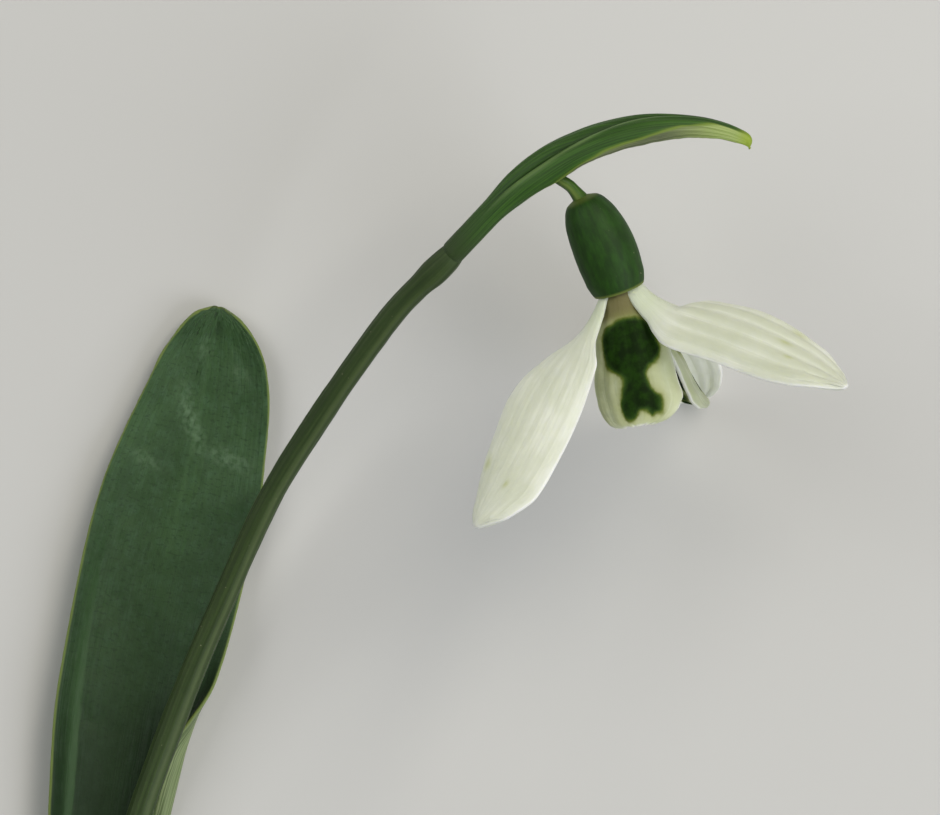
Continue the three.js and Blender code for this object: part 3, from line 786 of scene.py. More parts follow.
def leaf_half(t, v, side):
    """Distance out and height of one side: the sums of cos and sin of its slope along the surface."""
    sizes = LEAF_SIDES[side]
    width, slope, turn = (stations(sizes[key], t)[:, None] for key in ("width", "slope", "turn"))
    start, end = sizes["turns_between"]
    fine = (np.arange(LEAF_STEPS) + 0.5) / LEAF_STEPS
    leaving = slope * smoothstep(fine / SLOPE_REACHED_AT)[None]
    turning = turn * smoothstep((fine - start) / (end - start))[None]
    angle = np.radians(leaving + turning)
    none = np.zeros((len(t), 1))
    out = np.concatenate([none, np.cumsum(np.cos(angle), axis=1) / LEAF_STEPS], axis=1) * width
    high = np.concatenate([none, np.cumsum(np.sin(angle), axis=1) / LEAF_STEPS], axis=1) * width
    pick = (v * LEAF_STEPS).round().astype(int)
    return out[:, pick], high[:, pick]


half_out, half_high = leaf_half(np.array([0.5]), np.array([1.0]), "left")
print("halfway up, the left margin is", half_out[0, 0].round(1), "mm out,", half_high[0, 0].round(1), "mm up")

# %% [markdown]
# ## The marks on the leaf
# A pale line runs round the whole margin, a pale crease follows the turned-up strip on the left, and the
# foot is darker. A few soft ellipses, drawn out and leaning, are the scuffs in the wax. Each mark is a
# number from 0 to 1 for every point, worked out from where the point lies across and along the leaf.

# %% The marks on the leaf
# Where the pale crease runs on the left, as a share of the half width.
LEAF_CREASE = [[0, 0.54], [0.2, 0.57], [0.42, 0.61], [0.6, 0.7], [1, 0.9]]
# Scuffs in the wax: across, along, the two sizes, lean, strength.
LEAF_SCUFFS = (
    (-0.1, 0.85, 0.3, 0.02, -0.115, 0.75),
    (0.5, 0.812, 0.34, 0.012, -0.02, 0.7),
    (-0.57, 0.79, 0.2, 0.009, -0.03, 0.5),
    (-0.15, 0.945, 0.12, 0.014, 0.0, 0.6),
    (0.55, 0.92, 0.16, 0.012, 0.0, 0.4),
)


def spots(uu, tt, rows):
    """The highest of soft ellipses strength exp(-(across / size)^2 - (along / size)^2), which may lean. It is
    0 where there is none."""
    found = [
        strength * np.exp(-(((uu - cu) / su) ** 2) - ((tt - ct - lean * (uu - cu)) / st) ** 2)
        for cu, ct, su, st, lean, strength in rows
    ]
    return np.maximum.reduce([np.zeros(tt.shape)] + found)


def leaf_marks(tt, uu):
    """Margin by distance from the edge in millimetres, the others by soft steps across and along."""
    left, right = (stations(LEAF_SIDES[side]["width"], tt[:, 0])[:, None] for side in ("left", "right"))
    from_edge = (1 - np.abs(uu)) * np.where(uu < 0, left, right)
    margin = np.maximum(1 - smoothstep((from_edge - 0.01) / 0.08), smoothstep((tt - 0.998) / 0.002))
    past_crease = -uu - stations(LEAF_CREASE, tt[:, 0])[:, None]
    crease = smoothstep((past_crease + 0.02) / 0.03) * (1 - smoothstep((past_crease - 0.05) / 0.2))
    midrib = np.exp(-((uu / 0.04) ** 2)) * smoothstep((tt - 0.6) / 0.2) * smoothstep((0.97 - tt) / 0.04)
    tip_shade = spots(uu, tt, [(0.12, 0.975, 0.14, 0.014, 0, 0.6)]) * (uu > 0)
    return {
        "margin": 0.9 * margin,
        "midrib": 0.15 * midrib,
        "crease": 0.75 * crease * smoothstep((0.74 - tt) / 0.25),
        "foot": 0.8 * smoothstep((0.88 - tt) / 0.6),
        "tip_shade": tip_shade,
        "scuff": spots(uu, tt, LEAF_SCUFFS),
    }


print("scuffs in the wax:", len(LEAF_SCUFFS))

# %% [markdown]
# ## The whole leaf
# The two halves meet at the midrib on one grid. Slow ripples grow towards the margins, and the blade thins
# out over its last part, so that the edge looks as fine as a real one.

# %% The whole leaf
LEAF_RIPPLE_MM = 0.10
LEAF_FINE_MM = 0.022


def make_leaf():
    """Left half, midrib and right half on one grid, with ripples, thinner towards its margin."""
    t = np.concatenate([np.linspace(0, 0.93, 260), np.linspace(0.932, 1, 50)])
    v = 1 - (1 - np.linspace(0, 1, 51)) ** 1.25
    place, heading = space_line(LEAF_LINE, t)
    flat = unit(heading * [1, 1, 0])
    across = np.stack([flat[:, 1], -flat[:, 0], np.zeros(len(t))], axis=-1)
    left_out, left_high = leaf_half(t, v[::-1], "left")
    right_out, right_high = leaf_half(t, v[1:], "right")
    out = np.concatenate([-left_out, right_out], axis=1)
    high = np.concatenate([left_high, right_high], axis=1)
    u = np.concatenate([-v[::-1], v[1:]])
    tt, uu = np.broadcast_arrays(t[:, None], u[None])
    size = np.abs(uu)
    ripple = LEAF_RIPPLE_MM * soft_noise(tt * 26, uu * 2.2, 11) * smoothstep((size - 0.15) / 0.5)
    fine = LEAF_FINE_MM * soft_noise(tt * 60, uu * 40, 12)
    high = high + ripple * smoothstep((1 - tt) / 0.05) + fine
    grid = place[:, None] + across[:, None] * out[..., None] + TOWARDS_VIEWER * high[..., None]
    thickness = LEAF_THICK_MIDDLE - (LEAF_THICK_MIDDLE - LEAF_THICK_MARGIN) * size
    from_rim = np.clip(1 - size**14, 0, 1) * np.clip(1 - tt**90, 0, 1)
    thickness = thickness * (0.25 + 0.75 * np.sqrt(from_rim))
    return blade(
        "strap_leaf", grid, thickness, "leaf", leaf_skin, t, u,
        leaf_marks(tt, uu), floor=0.0, rise=LEAF_THICK_MIDDLE / 2 - LEAF_SINK,
    )


make_leaf()

# %% [markdown]
# ## The hood
# The hood, or spathe, is two green keels joined by thin membrane. It closes round the stalk at its foot,
# opens below, and hooks over at its tip. Its section is an oval shell, open below, with a groove along its
# back and two thick keels, and its lower edges wave a little because the membrane is thin.

# %% The hood's sizes
SPATHE_LINE = [
    [-0.05, 30.45, 22.6],
    [1.95, 32.55, 23.6],
    [4.2, 34.9, 24.4],
    [6.45, 36.95, 24.9],
    [8.7, 38.6, 25.3],
    [11.1, 40.0, 25.6],
    [14.0, 41.2, 25.9],
    [17.25, 42.0, 26.1],
    [20.85, 42.3, 26.2],
    [23.7, 42.05, 26.2],
    [25.8, 41.45, 26.1],
    [26.75, 40.95, 26.0],
    [27.05, 40.3, 25.9],
]
SPATHE_HEIGHT = [
    [0, 2.3], [0.18, 2.3], [0.3, 2.85], [0.4, 3.1], [0.5, 2.8], [0.65, 2.7],
    [0.78, 2.2], [0.88, 1.85], [0.95, 1.55], [0.98, 1.2], [1, 0.4],
]
SPATHE_HALF_WIDTH = [
    [0, 0.85], [0.18, 0.9], [0.36, 1.35], [0.52, 1.6], [0.66, 1.55],
    [0.78, 1.2], [0.88, 0.8], [0.96, 0.35], [1, 0.15],
]
# How far round the section closes, how it is turned towards the viewer, in degrees, and its groove's depth.
SPATHE_CLOSURE = [[0, 171], [0.18, 166], [0.36, 138], [0.52, 122], [0.7, 112], [0.88, 100], [1, 90]]
SPATHE_ROLL = [[0, 0], [0.2, 4], [0.4, 14], [1, 15]]
SPATHE_GROOVE = [[0, 0], [0.2, 0.05], [0.36, 0.3], [0.7, 0.3], [0.9, 0.12], [1, 0]]
# Where the groove runs round the section, and where each green keel ends, in degrees from the back.
GROOVE_ANGLE = [[0, 60], [0.25, 52], [0.375, 48], [0.5, 34], [0.65, 9], [0.8, -5], [1, -10]]
KEEL_END = [[0, 180], [0.2, 175], [0.35, 135], [0.5, 112], [0.72, 82], [0.87, 50], [1, 20]]
GROOVE_DEEPER = 1.6
GROOVE_SPREAD = 13
SPATHE_WALL = 0.6
KEEL_EXTRA = 0.35
KEEL_ANGLE = 58
KEEL_SPREAD = 24
SPATHE_WAVE_MM = 0.06
SPATHE_RIB_MM = 0.02


def spathe_marks(tt, uu, angle, from_groove, body):
    """Keel, seam, painted shade in the groove and a painted highlight beside it by the angle round the
    section;
    foot, tip and a painted highlight on the lower edges by where they lie.
    """
    tube = smoothstep((0.3 - tt) / 0.14)
    ragged = 3 * soft_noise(tt * 12, uu * 0.5, 23)
    past_keel = np.abs(angle) - stations(KEEL_END, tt[:, 0])[:, None] + ragged
    return {
        "keel": np.maximum(smoothstep(-past_keel / 7), tube),
        # Painted shade: darker along the groove, mostly on its far side.
        "groove": 0.95 * np.exp(-(((from_groove + 4) / 12) ** 2)) * body,
        # Painted highlight: a lighter line on the raised keel edge beside the groove.
        "painted_ridge_highlight": 0.5 * np.exp(-(((from_groove - 17) / 5) ** 2)) * body,
        "foot": smoothstep((0.2 - tt) / 0.2),
        "seam": 0.7 * np.exp(-(((past_keel + 5) / 4) ** 2)) * body,
        "fresh": smoothstep((tt - 0.72) / 0.2),
        # Painted highlight: lighter along the lower edges of the membrane.
        "painted_hem_highlight": 0.8 * smoothstep((np.abs(uu) - 0.955) / 0.03) * (1 - tube),
        "tip": 0.85 * smoothstep((tt - 0.93) / 0.05),
    }


print("the hood's line has", len(SPATHE_LINE), "points")

# %% [markdown]
# ## The whole hood
# The section is carried along the line. At each place a direction away from the flower and one across it
# are found from the way the line heads, then the section's height goes along the first and its width along
# the second. Both ends thin out, so that no thick rim shows where the stem runs in or where the tip hooks
# over.

# %% The whole hood


def make_spathe():
    """Height = tall cos(angle) less a groove, width = half width sin(angle), carried along the line."""
    t = np.linspace(0, 1, 220)
    u = np.linspace(-1, 1, 111)
    tt, uu = np.broadcast_arrays(t[:, None], u[None])
    place, heading = space_line(SPATHE_LINE, t)
    roll = np.radians(stations(SPATHE_ROLL, t))[:, None]
    front = unit(TOWARDS_VIEWER - heading * heading[:, 2:3])
    back = unit(np.cross(front, heading))
    dorsal = back * np.cos(roll) + front * np.sin(roll)
    sideways = front * np.cos(roll) - back * np.sin(roll)
    closure = np.radians(stations(SPATHE_CLOSURE, t))[:, None]
    tall = (stations(SPATHE_HEIGHT, t)[:, None] - SPATHE_WALL) / (1 - np.cos(closure))
    rise = -tall * (1 + np.cos(closure)) / 2
    angle = uu * closure
    from_groove = np.degrees(angle) - stations(GROOVE_ANGLE, t)[:, None]
    depth = GROOVE_DEEPER * stations(SPATHE_GROOVE, t)[:, None]
    groove = depth * np.exp(-((from_groove / GROOVE_SPREAD) ** 2))
    body = smoothstep((tt - 0.15) / 0.2) * smoothstep((1 - tt) / 0.15)
    towards_hem = smoothstep((np.abs(uu) - 0.7) / 0.3)
    wave = SPATHE_WAVE_MM * soft_noise(tt * 22, uu * 1.5, 21) * towards_hem * body
    ribs = SPATHE_RIB_MM * np.cos(angle * 16) * body
    height = rise + (tall - groove) * np.cos(angle) + wave + ribs
    half_width = stations(SPATHE_HALF_WIDTH, t)[:, None] * (1 + 0.6 * wave)
    width = (half_width - groove) * np.sin(angle)
    grid = place[:, None] + dorsal[:, None] * height[..., None] + sideways[:, None] * width[..., None]
    keel = np.exp(-(((np.abs(from_groove) - KEEL_ANGLE) / KEEL_SPREAD) ** 2))
    edge = np.sqrt(np.clip(1 - np.abs(uu) ** 16, 0, 1))
    ends = 0.15 + 0.85 * smoothstep(tt / 0.03) * smoothstep((1 - tt) / 0.03)
    thickness = (SPATHE_WALL + KEEL_EXTRA * keel * body) * (0.25 + 0.75 * edge) * ends
    marks = spathe_marks(tt, uu, np.degrees(angle), from_groove, body)
    return blade("hood", grid, thickness, "spathe", spathe_skin, t, u, marks)


make_spathe()

# %% [markdown]
# ## The stalk and the ovary
# The flower's own stalk leaves the stem inside the hood, bends over and carries the ovary, a green swelling
# with a blunt top. Six faint lobes run along it where its walls meet, and its lower end has a paler rim,
# where the petals are attached. Both are rings along a line, as the stem is.

# %% The stalk and the ovary
PEDICEL_LINE = [
    [0.0, 30.5, 22.5],
    [1.95, 32.55, 23.6],
    [4.65, 35.2, 24.5],
    [6.9, 37.0, 24.9],
    [8.5, 38.0, 25.0],
    [9.5, 37.85, 25.0],
    [10.2, 37.45, 24.95],
    [10.95, 36.95, 24.8],
    [11.45, 36.4, 24.6],
    [11.88, 35.85, 24.38],
]
PEDICEL_RADIUS = [[0, 0.33], [0.5, 0.38], [0.7, 0.5], [0.92, 0.54], [1, 0.7]]
OVARY_LINE = [
    [11.87, 35.95, 24.33],
    [12.88, 33.85, 24.05],
    [13.86, 31.75, 23.75],
    [14.65, 29.7, 23.4],
    [15.345, 27.675, 23.0],
]
OVARY_RADIUS = [
    [0, 0.75], [0.04, 1.55], [0.12, 2.05], [0.28, 2.53],
    [0.6, 2.84], [0.85, 2.68], [0.96, 2.45], [1, 2.3],
]
PEDICEL_ROWS, PEDICEL_SIDES = 160, 40
PEDICEL_RIBS, PEDICEL_RIB_MM = 7, 0.012
OVARY_ROWS, OVARY_SIDES = 130, 96
OVARY_LOBES, LOBE_SHARE = 6, 0.007
OVARY_WAVE_MM = 0.03


def make_pedicel():
    """Radius = the station curve with faint ribs. A painted highlight runs along one side."""
    t = np.linspace(0, 1, PEDICEL_ROWS)
    angles = ring_angles(PEDICEL_SIDES)
    radius = stations(PEDICEL_RADIUS, t)[:, None] + PEDICEL_RIB_MM * np.cos(PEDICEL_RIBS * angles)[None]
    # Painted highlight: a paler line along one side of the stalk.
    rim = np.tile(0.5 * np.exp(-(((angles - 1.2) / 0.35) ** 2)), (PEDICEL_ROWS, 1))
    return rod(
        "flower_stalk", PEDICEL_LINE, t, angles, radius, radius, TOWARDS_VIEWER,
        "pedicel", stalk_skin, {"rim": rim},
    )


def make_ovary():
    """Radius = the station curve x (1 + faint lobes) + slow waves. Both ends have a paler rim."""
    t = 0.5 - 0.5 * np.cos(np.pi * np.linspace(0, 1, OVARY_ROWS))
    angles = ring_angles(OVARY_SIDES)
    lobes = 1 + LOBE_SHARE * np.cos(OVARY_LOBES * angles)[None]
    waves = OVARY_WAVE_MM * soft_noise(t[:, None] * 5, np.sin(angles)[None] * 2, 31)
    radius = stations(OVARY_RADIUS, t)[:, None] * lobes + waves
    rim = np.maximum(0.7 * smoothstep((t - 0.965) / 0.03), 0.35 * smoothstep((0.06 - t) / 0.05))
    return rod(
        "ovary_body", OVARY_LINE, t, angles, radius, radius, TOWARDS_VIEWER,
        "ovary", ovary_skin, {"rim": np.tile(rim[:, None], (1, OVARY_SIDES))},
    )


make_pedicel()
make_ovary()

# %% [markdown]
# ## Where the petals start
# The flower hangs along an axis that leans to the right and a little towards the table. The petals stand in
# two rings round it, three long outer ones and three short inner ones, and each leaves in a direction given
# by an angle round the axis.

# %% Where the petals start
FLOWER_POINT = np.array([15.345, 27.675, 23.0])
LEAN = np.radians(17)
TILT = np.radians(8)
AXIS = np.array([np.sin(LEAN) * np.cos(TILT), -np.cos(LEAN) * np.cos(TILT), -np.sin(TILT)])
RIGHTWARD = np.array([np.cos(LEAN), np.sin(LEAN), 0.0])
VIEWWARD = np.cross(AXIS, RIGHTWARD)
CLAW_GAP = 0.45
CLAW_REACH = 0.65


def outward(azimuth):
    """Direction away from the flower's axis at an azimuth, 0 towards the viewer."""
    return np.sin(np.radians(azimuth)) * RIGHTWARD + np.cos(np.radians(azimuth)) * VIEWWARD


print("the flower hangs along", AXIS.round(2))

# %% [markdown]
# ## The petals' sizes
# The outer petals spread wide and the inner ones form a cup. Each is a middle line that starts straight out
# of the ovary and spreads by an angle that changes along it, with a width, a cup across it, and a roll. The
# sizes are millimetres and the angles degrees. Streaks and spots are rows of across, along, two sizes, lean
# and strength.

# %% The petals' sizes
WIDTH_AT = [0, 0.1, 0.15, 0.2, 0.25, 0.45, 0.65, 0.8, 0.92, 0.97, 1]
BEND_AT = [0, 0.2, 0.5, 0.8, 1]
TURN_AT = [0, 0.5, 1]
CUP_AT = [0, 0.3, 1]
OUTER = {
    "ring": 2.05, "cup": [60, 35, 25], "rib_count": 7, "thick": 0.6,
    "marked": False, "slot": "petal_white", "material": outer_petal,
}
INNER = {
    "ring": 1.55, "cup": [60, 55, 45], "rib_count": 6, "thick": 0.56,
    "marked": True, "slot": "inner_petal", "material": inner_petal,
}
# A petal with no left_width is as wide on its left as on its right.
PETALS = {
    "outer_tepal_left": {
        **OUTER, "azimuth": -62, "length": 24.25,
        "bend": [42, 58, 50, 51, 53], "yaw": [0, 3.5, -8], "roll": [-6, 33, 4.5],
        "right_width": [0.6, 1.05, 1.35, 2.1, 2.9, 3.6, 3.8, 4.0, 2.75, 1.35, 0.35],
        "left_width": [0.75, 1.1, 1.6, 2.5, 3.45, 4.25, 4.15, 3.7, 2.4, 1.25, 0.35],
        "ribs": 0.018, "painted_rib_shade_strength": 0.1,
        "streaks": [(-0.76, 0.74, 0.1, 0.03, 0, 0.45), (0.17, 0.81, 0.05, 0.016, 0, 0.45)],
    },
    "outer_tepal_right": {
        **OUTER, "azimuth": 62, "length": 22.0,
        "bend": [30, 63, 59, 52.5, 44], "yaw": [-4.5, -5, 0], "roll": [-15, -32, 2],
        "right_at": [0, 0.1, 0.15, 0.18, 0.215, 0.25, 0.45, 0.65, 0.8, 0.92, 0.97, 1],
        "right_width": [0.9, 1.1, 1.05, 0.85, 2.9, 3.65, 4.05, 4.15, 4.05, 2.7, 1.3, 0.35],
        "left_width": [1.4, 2.0, 2.85, 3.5, 3.65, 3.4, 3.4, 3.1, 2.15, 1.2, 0.35],
        "ribs": 0.08, "rib_count": 5, "painted_rib_shade_strength": 0.6,
        "streaks": [
            (0.78, 0.68, 0.12, 0.035, 0, 0.45),
            (0.22, 0.675, 0.05, 0.03, 0, 0.45),
            (-0.16, 0.73, 0.04, 0.02, 0, 0.45),
        ],
    },
    "outer_tepal_back": {
        **OUTER, "azimuth": 172, "length": 24.55,
        "bend": [24, 43, 60.5, 59, 82], "yaw": [-12, 1, 9], "roll": [-2, 15, 0],
        "right_width": [0.85, 1.3, 1.8, 2.4, 3.0, 4.0, 4.1, 3.6, 2.35, 1.25, 0.4],
    },
    "inner_tepal_front": {
        **INNER, "azimuth": -6, "length": 11.9,
        "bend": [7, 18, 14, 27, 24], "yaw": [-4, -8.5, -1], "roll": [5, 0, 0.5],
        "right_width": [1.1, 1.7, 2.2, 2.7, 3.1, 4.1, 4.42, 4.68, 4.05, 3.1, 1.5],
        "left_width": [1.3, 1.8, 2.3, 2.8, 3.2, 3.72, 4.05, 3.95, 3.6, 3.2, 2.1],
        "end": (0.11, 0.062),
    },
    "inner_tepal_right": {
        **INNER, "azimuth": 105, "length": 12.8,
        "bend": [6, 21, 12, 17, 30], "yaw": [-2, 11, -6], "roll": [2, 6.5, -8],
        "right_width": [0.85, 1.35, 1.7, 2.1, 2.4, 3.3, 3.9, 4.1, 3.3, 2.1, 0.8],
        "spots": [(0.78, 0.88, 0.12, 0.04, 0, 1), (0.92, 0.93, 0.1, 0.03, 0, 1)],
    },
    "inner_tepal_left": {
        **INNER, "azimuth": -129, "length": 12.2,
        "bend": [6, 17, 13, 15, 12], "yaw": [0, -3, 0], "roll": [0, 0, 0],
        "right_width": [0.85, 1.3, 1.6, 1.9, 2.2, 3.0, 3.5, 3.7, 3.0, 2.0, 0.8],
    },
}
print("petals:", {name: form["length"] for name, form in PETALS.items()})

# %% [markdown]
# ## A petal's middle surface
# The middle line is walked in small steps, each in the way the petal heads there. Across it the petal is an
# arc, since a cupped petal keeps its width as it curves. A curve object with a profile could do this, but
# it has one section for its whole length, and a petal's changes from a narrow deep claw to a wide shallow
# blade.

# %% A petal's middle surface
PETAL_STEPS = 1200


def petal_grid(form, t, u):
    """Middle line by adding up headings; then out by width sin(cup u) / cup, and in by (1 - cos) likewise.
    An end with a slant and a bow shifts forward by slant x - bow x^2, where x is the distance out."""
    out = outward(form["azimuth"])
    across = outward(form["azimuth"] + 90)
    fine = np.linspace(0, 1, PETAL_STEPS + 1)
    bend = np.radians(through(BEND_AT, form["bend"], fine))[:, None]
    yaw = np.radians(through(TURN_AT, form["yaw"], fine))[:, None]
    heading = np.cos(yaw) * (np.cos(bend) * AXIS + np.sin(bend) * out) + np.sin(yaw) * across
    stride = (heading[1:] + heading[:-1]) / 2 * form["length"] / PETAL_STEPS
    start = FLOWER_POINT + AXIS * CLAW_GAP + out * form["ring"]
    line = start + np.concatenate([np.zeros((1, 3)), np.cumsum(stride, axis=0)])
    place = np.stack([np.interp(t, fine, line[:, k]) for k in range(3)], axis=-1)
    place = place + heading[0] * (np.minimum(t, 0) * form["length"])[:, None]
    heading = unit(np.stack([np.interp(t, fine, heading[:, k]) for k in range(3)], axis=-1))
    level = unit(across - dot(heading, across) * heading)
    inward = np.cross(heading, level)
    inward = np.where(dot(inward, out) > 0, -inward, inward)
    roll = np.radians(through(TURN_AT, form["roll"], t))[:, None]
    sideways = level * np.cos(roll) + inward * np.sin(roll)
    upward = inward * np.cos(roll) - level * np.sin(roll)
    right_half = through(form.get("right_at", WIDTH_AT), form["right_width"], t)[:, None]
    left_half = through(WIDTH_AT, form.get("left_width", form["right_width"]), t)[:, None]
    half = np.where(u > 0, right_half, left_half)
    cup = np.radians(through(CUP_AT, form["cup"], t))[:, None]
    right = half * np.sin(cup * u[None]) / cup
    up = half * (1 - np.cos(cup * u[None])) / cup
    slant, bow = form.get("end", (0, 0))
    shift = smoothstep((t - 0.5) / 0.5)[:, None] * (slant * right - bow * right**2)
    grid = (
        place[:, None]
        + sideways[:, None] * right[..., None]
        + upward[:, None] * up[..., None]
        + heading[:, None] * shift[..., None]
    )
    return grid, half, shift


middle = petal_grid(PETALS["inner_tepal_front"], np.linspace(0, 1, 3), np.linspace(-1, 1, 3))[0][:, 1]
print("the front petal's middle line:", middle.round(1).tolist())

# %% [markdown]
# ## The green mark
# The mark on an inner petal is an outline of a few points in the petal's own millimetres. Cutting its
# corners twice rounds it. How far a place lies inside it then gives a soft edge, and a wider paler one, as
# the green fades into the white. An image could hold the mark too, but would blur when seen close.

# %% The green mark
# Across from the petal's midline, and along from its claw, in millimetres.
MARK_OUTLINE = [
    (-1.9, 2.75), (-0.9, 2.15), (-0.1, 1.95), (0.75, 1.95), (1.4, 2.1), (2.3, 2.9), (2.6, 4.0),
    (2.95, 4.95), (2.6, 5.75), (2.1, 6.3), (1.7, 6.5), (1.25, 7.0), (1.35, 7.7), (1.55, 8.4),
    (2.0, 9.05), (2.5, 9.4), (2.25, 10.8), (2.0, 11.2), (1.6, 11.1), (1.3, 11.35), (1.0, 11.1),
    (0.55, 10.5), (0.1, 10.85), (-0.3, 11.4), (-1.0, 11.3), (-1.3, 10.5), (-1.35, 9.6),
    (-1.2, 9.2), (-0.9, 8.3), (-0.7, 7.3), (-1.4, 6.8), (-2.1, 6.35), (-2.3, 5.1), (-2.4, 3.7),
]


def inside_distance(x, y, outline):
    """Distance to a closed outline with its corners cut twice, positive inside: the least over its sides."""
    outline = np.asarray(outline, float)
    for _ in range(2):
        after = np.roll(outline, -1, axis=0)
        cut = [0.75 * outline + 0.25 * after, 0.25 * outline + 0.75 * after]
        outline = np.stack(cut, axis=1).reshape(-1, 2)
    inside = np.zeros(x.shape, bool)
    least = np.full(x.shape, 1e9)
    for (ax, ay), (bx, by) in zip(outline, np.roll(outline, -1, axis=0)):
        along = ((x - ax) * (bx - ax) + (y - ay) * (by - ay)) / ((bx - ax) ** 2 + (by - ay) ** 2)
        s = np.clip(along, 0, 1)
        least = np.minimum(least, np.hypot(x - ax - s * (bx - ax), y - ay - s * (by - ay)))
        crosses = (ay > y) != (by > y)
        at = ax + (y - ay) * (bx - ax) / (by - ay if by != ay else 1e-9)
        inside ^= crosses & (x < at)
    return np.where(inside, least, -least)


depth = inside_distance(np.array([0.0]), np.array([4.0]), MARK_OUTLINE)
print("one place lies", depth.round(2), "mm inside the mark")

# %% [markdown]
# ## The petals
# The middle surface gets ribs from claw to tip and slow waves that grow towards its edges, and an inner
# petal a faintly scalloped end. It thins out at its edge and its tip. The marks are worked out on the same
# grid.

# %% The petals
RIB_MM = 0.045
# How strong the painted shade between the ribs is.
PAINTED_RIB_SHADE_STRENGTH = 0.35
SLOW_WAVE_MM = 0.16
FINE_WAVE_MM = 0.02
SCALLOP_MM = 0.06
SCALLOPS = 5
FIRST_SEED = 50
SEED_STEP = 7


def petal_relief(form, tt, uu, seed):
    """Height of the ribs and waves in millimetres, and the painted shade in the hollows between the ribs."""
    size = np.abs(uu)
    off_edge = 1 - size**6
    blade_part = smoothstep((tt - 0.12) / 0.15) * smoothstep((1 - tt) / 0.05)
    phase = uu * np.pi * form["rib_count"] + 0.4 * soft_noise(tt * 3, uu * 3, seed)
    ribs = form.get("ribs", RIB_MM) * np.cos(phase) * off_edge
    waves = SLOW_WAVE_MM * soft_noise(tt * 4, uu * 1.3, seed + 1) * size**1.5
    waves += FINE_WAVE_MM * soft_noise(tt * 18, uu * 10, seed + 2)
    # Painted shade: strongest halfway between the rib crests, where the surface dips.
    painted_rib_shade = form.get("painted_rib_shade_strength", PAINTED_RIB_SHADE_STRENGTH) * (0.5 - 0.5 * np.cos(phase)) * off_edge * blade_part
    return (ribs + waves) * blade_part, painted_rib_shade


def petal_marks(form, tt, uu, half, shift, seed):
    """Streaks, mark, halo, claw and painted rim light, each from 0 to 1."""
    # Painted rim light: lighter along the petal's edges and at its tip.
    rim = np.maximum(smoothstep((np.abs(uu) - 0.94) / 0.05), smoothstep((tt - 0.985) / 0.015))
    streak = spots(uu, tt, form.get("streaks", ()))
    if not form["marked"]:
        none = np.zeros(tt.shape)
        claw = 0.7 * smoothstep((0.2 - tt) / 0.16)
        return {"streak": streak, "mark": none, "halo": none, "claw": claw, "painted_rim_light": 0.7 * rim}
    across = uu * half
    along = tt * form["length"] + shift
    inside = inside_distance(across, along, MARK_OUTLINE)
    inside += 0.06 * soft_noise(across * 3, along * 3, seed + 3)
    mark = np.maximum(smoothstep((inside + 0.4) / 1.0), spots(uu, tt, form.get("spots", ())))
    halo = 0.5 * smoothstep((inside + 1.1) / 1.2)
    # On the inner petals this tint at the foot is partly painted shade, next to the ovary.
    claw = 0.9 * smoothstep((0.23 - tt) / 0.1)
    return {"streak": streak, "mark": mark, "halo": halo, "claw": claw, "painted_rim_light": 0.7 * rim}


def make_petal(name, form, seed):
    """The petal's grid with ribs and slow waves, thin at its edge, and its marks as attributes."""
    attached = CLAW_REACH / form["length"]
    t = np.concatenate([
        np.linspace(-attached, -0.002, 6), np.linspace(0, 0.9, 145), np.linspace(0.904, 1, 32),
    ])
    reach = np.pi / 2 * 0.92
    u = np.sin(np.linspace(-1, 1, 95) * reach) / np.sin(reach)
    tt, uu = np.broadcast_arrays(t[:, None], u[None])
    grid, half, shift = petal_grid(form, t, u)
    lift, painted_rib_shade = petal_relief(form, tt, uu, seed)
    grid = grid + grid_normals(grid) * lift[..., None]
    if form["marked"]:
        scallops = SCALLOP_MM * np.cos(uu * SCALLOPS * np.pi + 2 * soft_noise(uu * 4, tt, seed + 4))
        scallops = scallops * smoothstep((tt - 0.96) / 0.04)
        grid = grid + np.gradient(grid, t, axis=0) / form["length"] * scallops[..., None]
    edge = np.sqrt(np.clip(1 - np.abs(uu) ** 12, 0, 1)) * np.sqrt(np.clip(1 - tt**60, 0, 1))
    thickness = form["thick"] * (0.2 + 0.8 * edge)
    marks = petal_marks(form, tt, uu, half, shift, seed)
    return blade(
        name.replace("tepal", "petal"), grid, thickness, name, form["material"],
        t, u, {**marks, "painted_rib_shade": painted_rib_shade}, floor=0.0,
    )


for number, (petal_name, petal_form) in enumerate(PETALS.items()):
    make_petal(petal_name, petal_form, FIRST_SEED + SEED_STEP * number)

# %% [markdown]
# ## The stamens and the style
# Six stamens stand in a ring round the thread-like style. Each is a short white filament under a long
# pointed anther, and an anther is two pollen sacs side by side, so its section has a shallow dip along its
# middle.

# %% The stamens and the style
STAMEN_COUNT = 6
STAMEN_RING = 0.85
FILAMENT_LENGTH, FILAMENT_RADIUS = 1.5, 0.2
ANTHER_LENGTH, ANTHER_DEPTH, ANTHER_WIDTH = 5.6, 0.42, 0.3
TIP_LEAN = 0.1
STAMEN_ROWS, STAMEN_SIDES = 90, 28
STYLE_LENGTH, STYLE_RADIUS = 8.2, 0.26
STYLE_ROWS, STYLE_SIDES = 40, 24


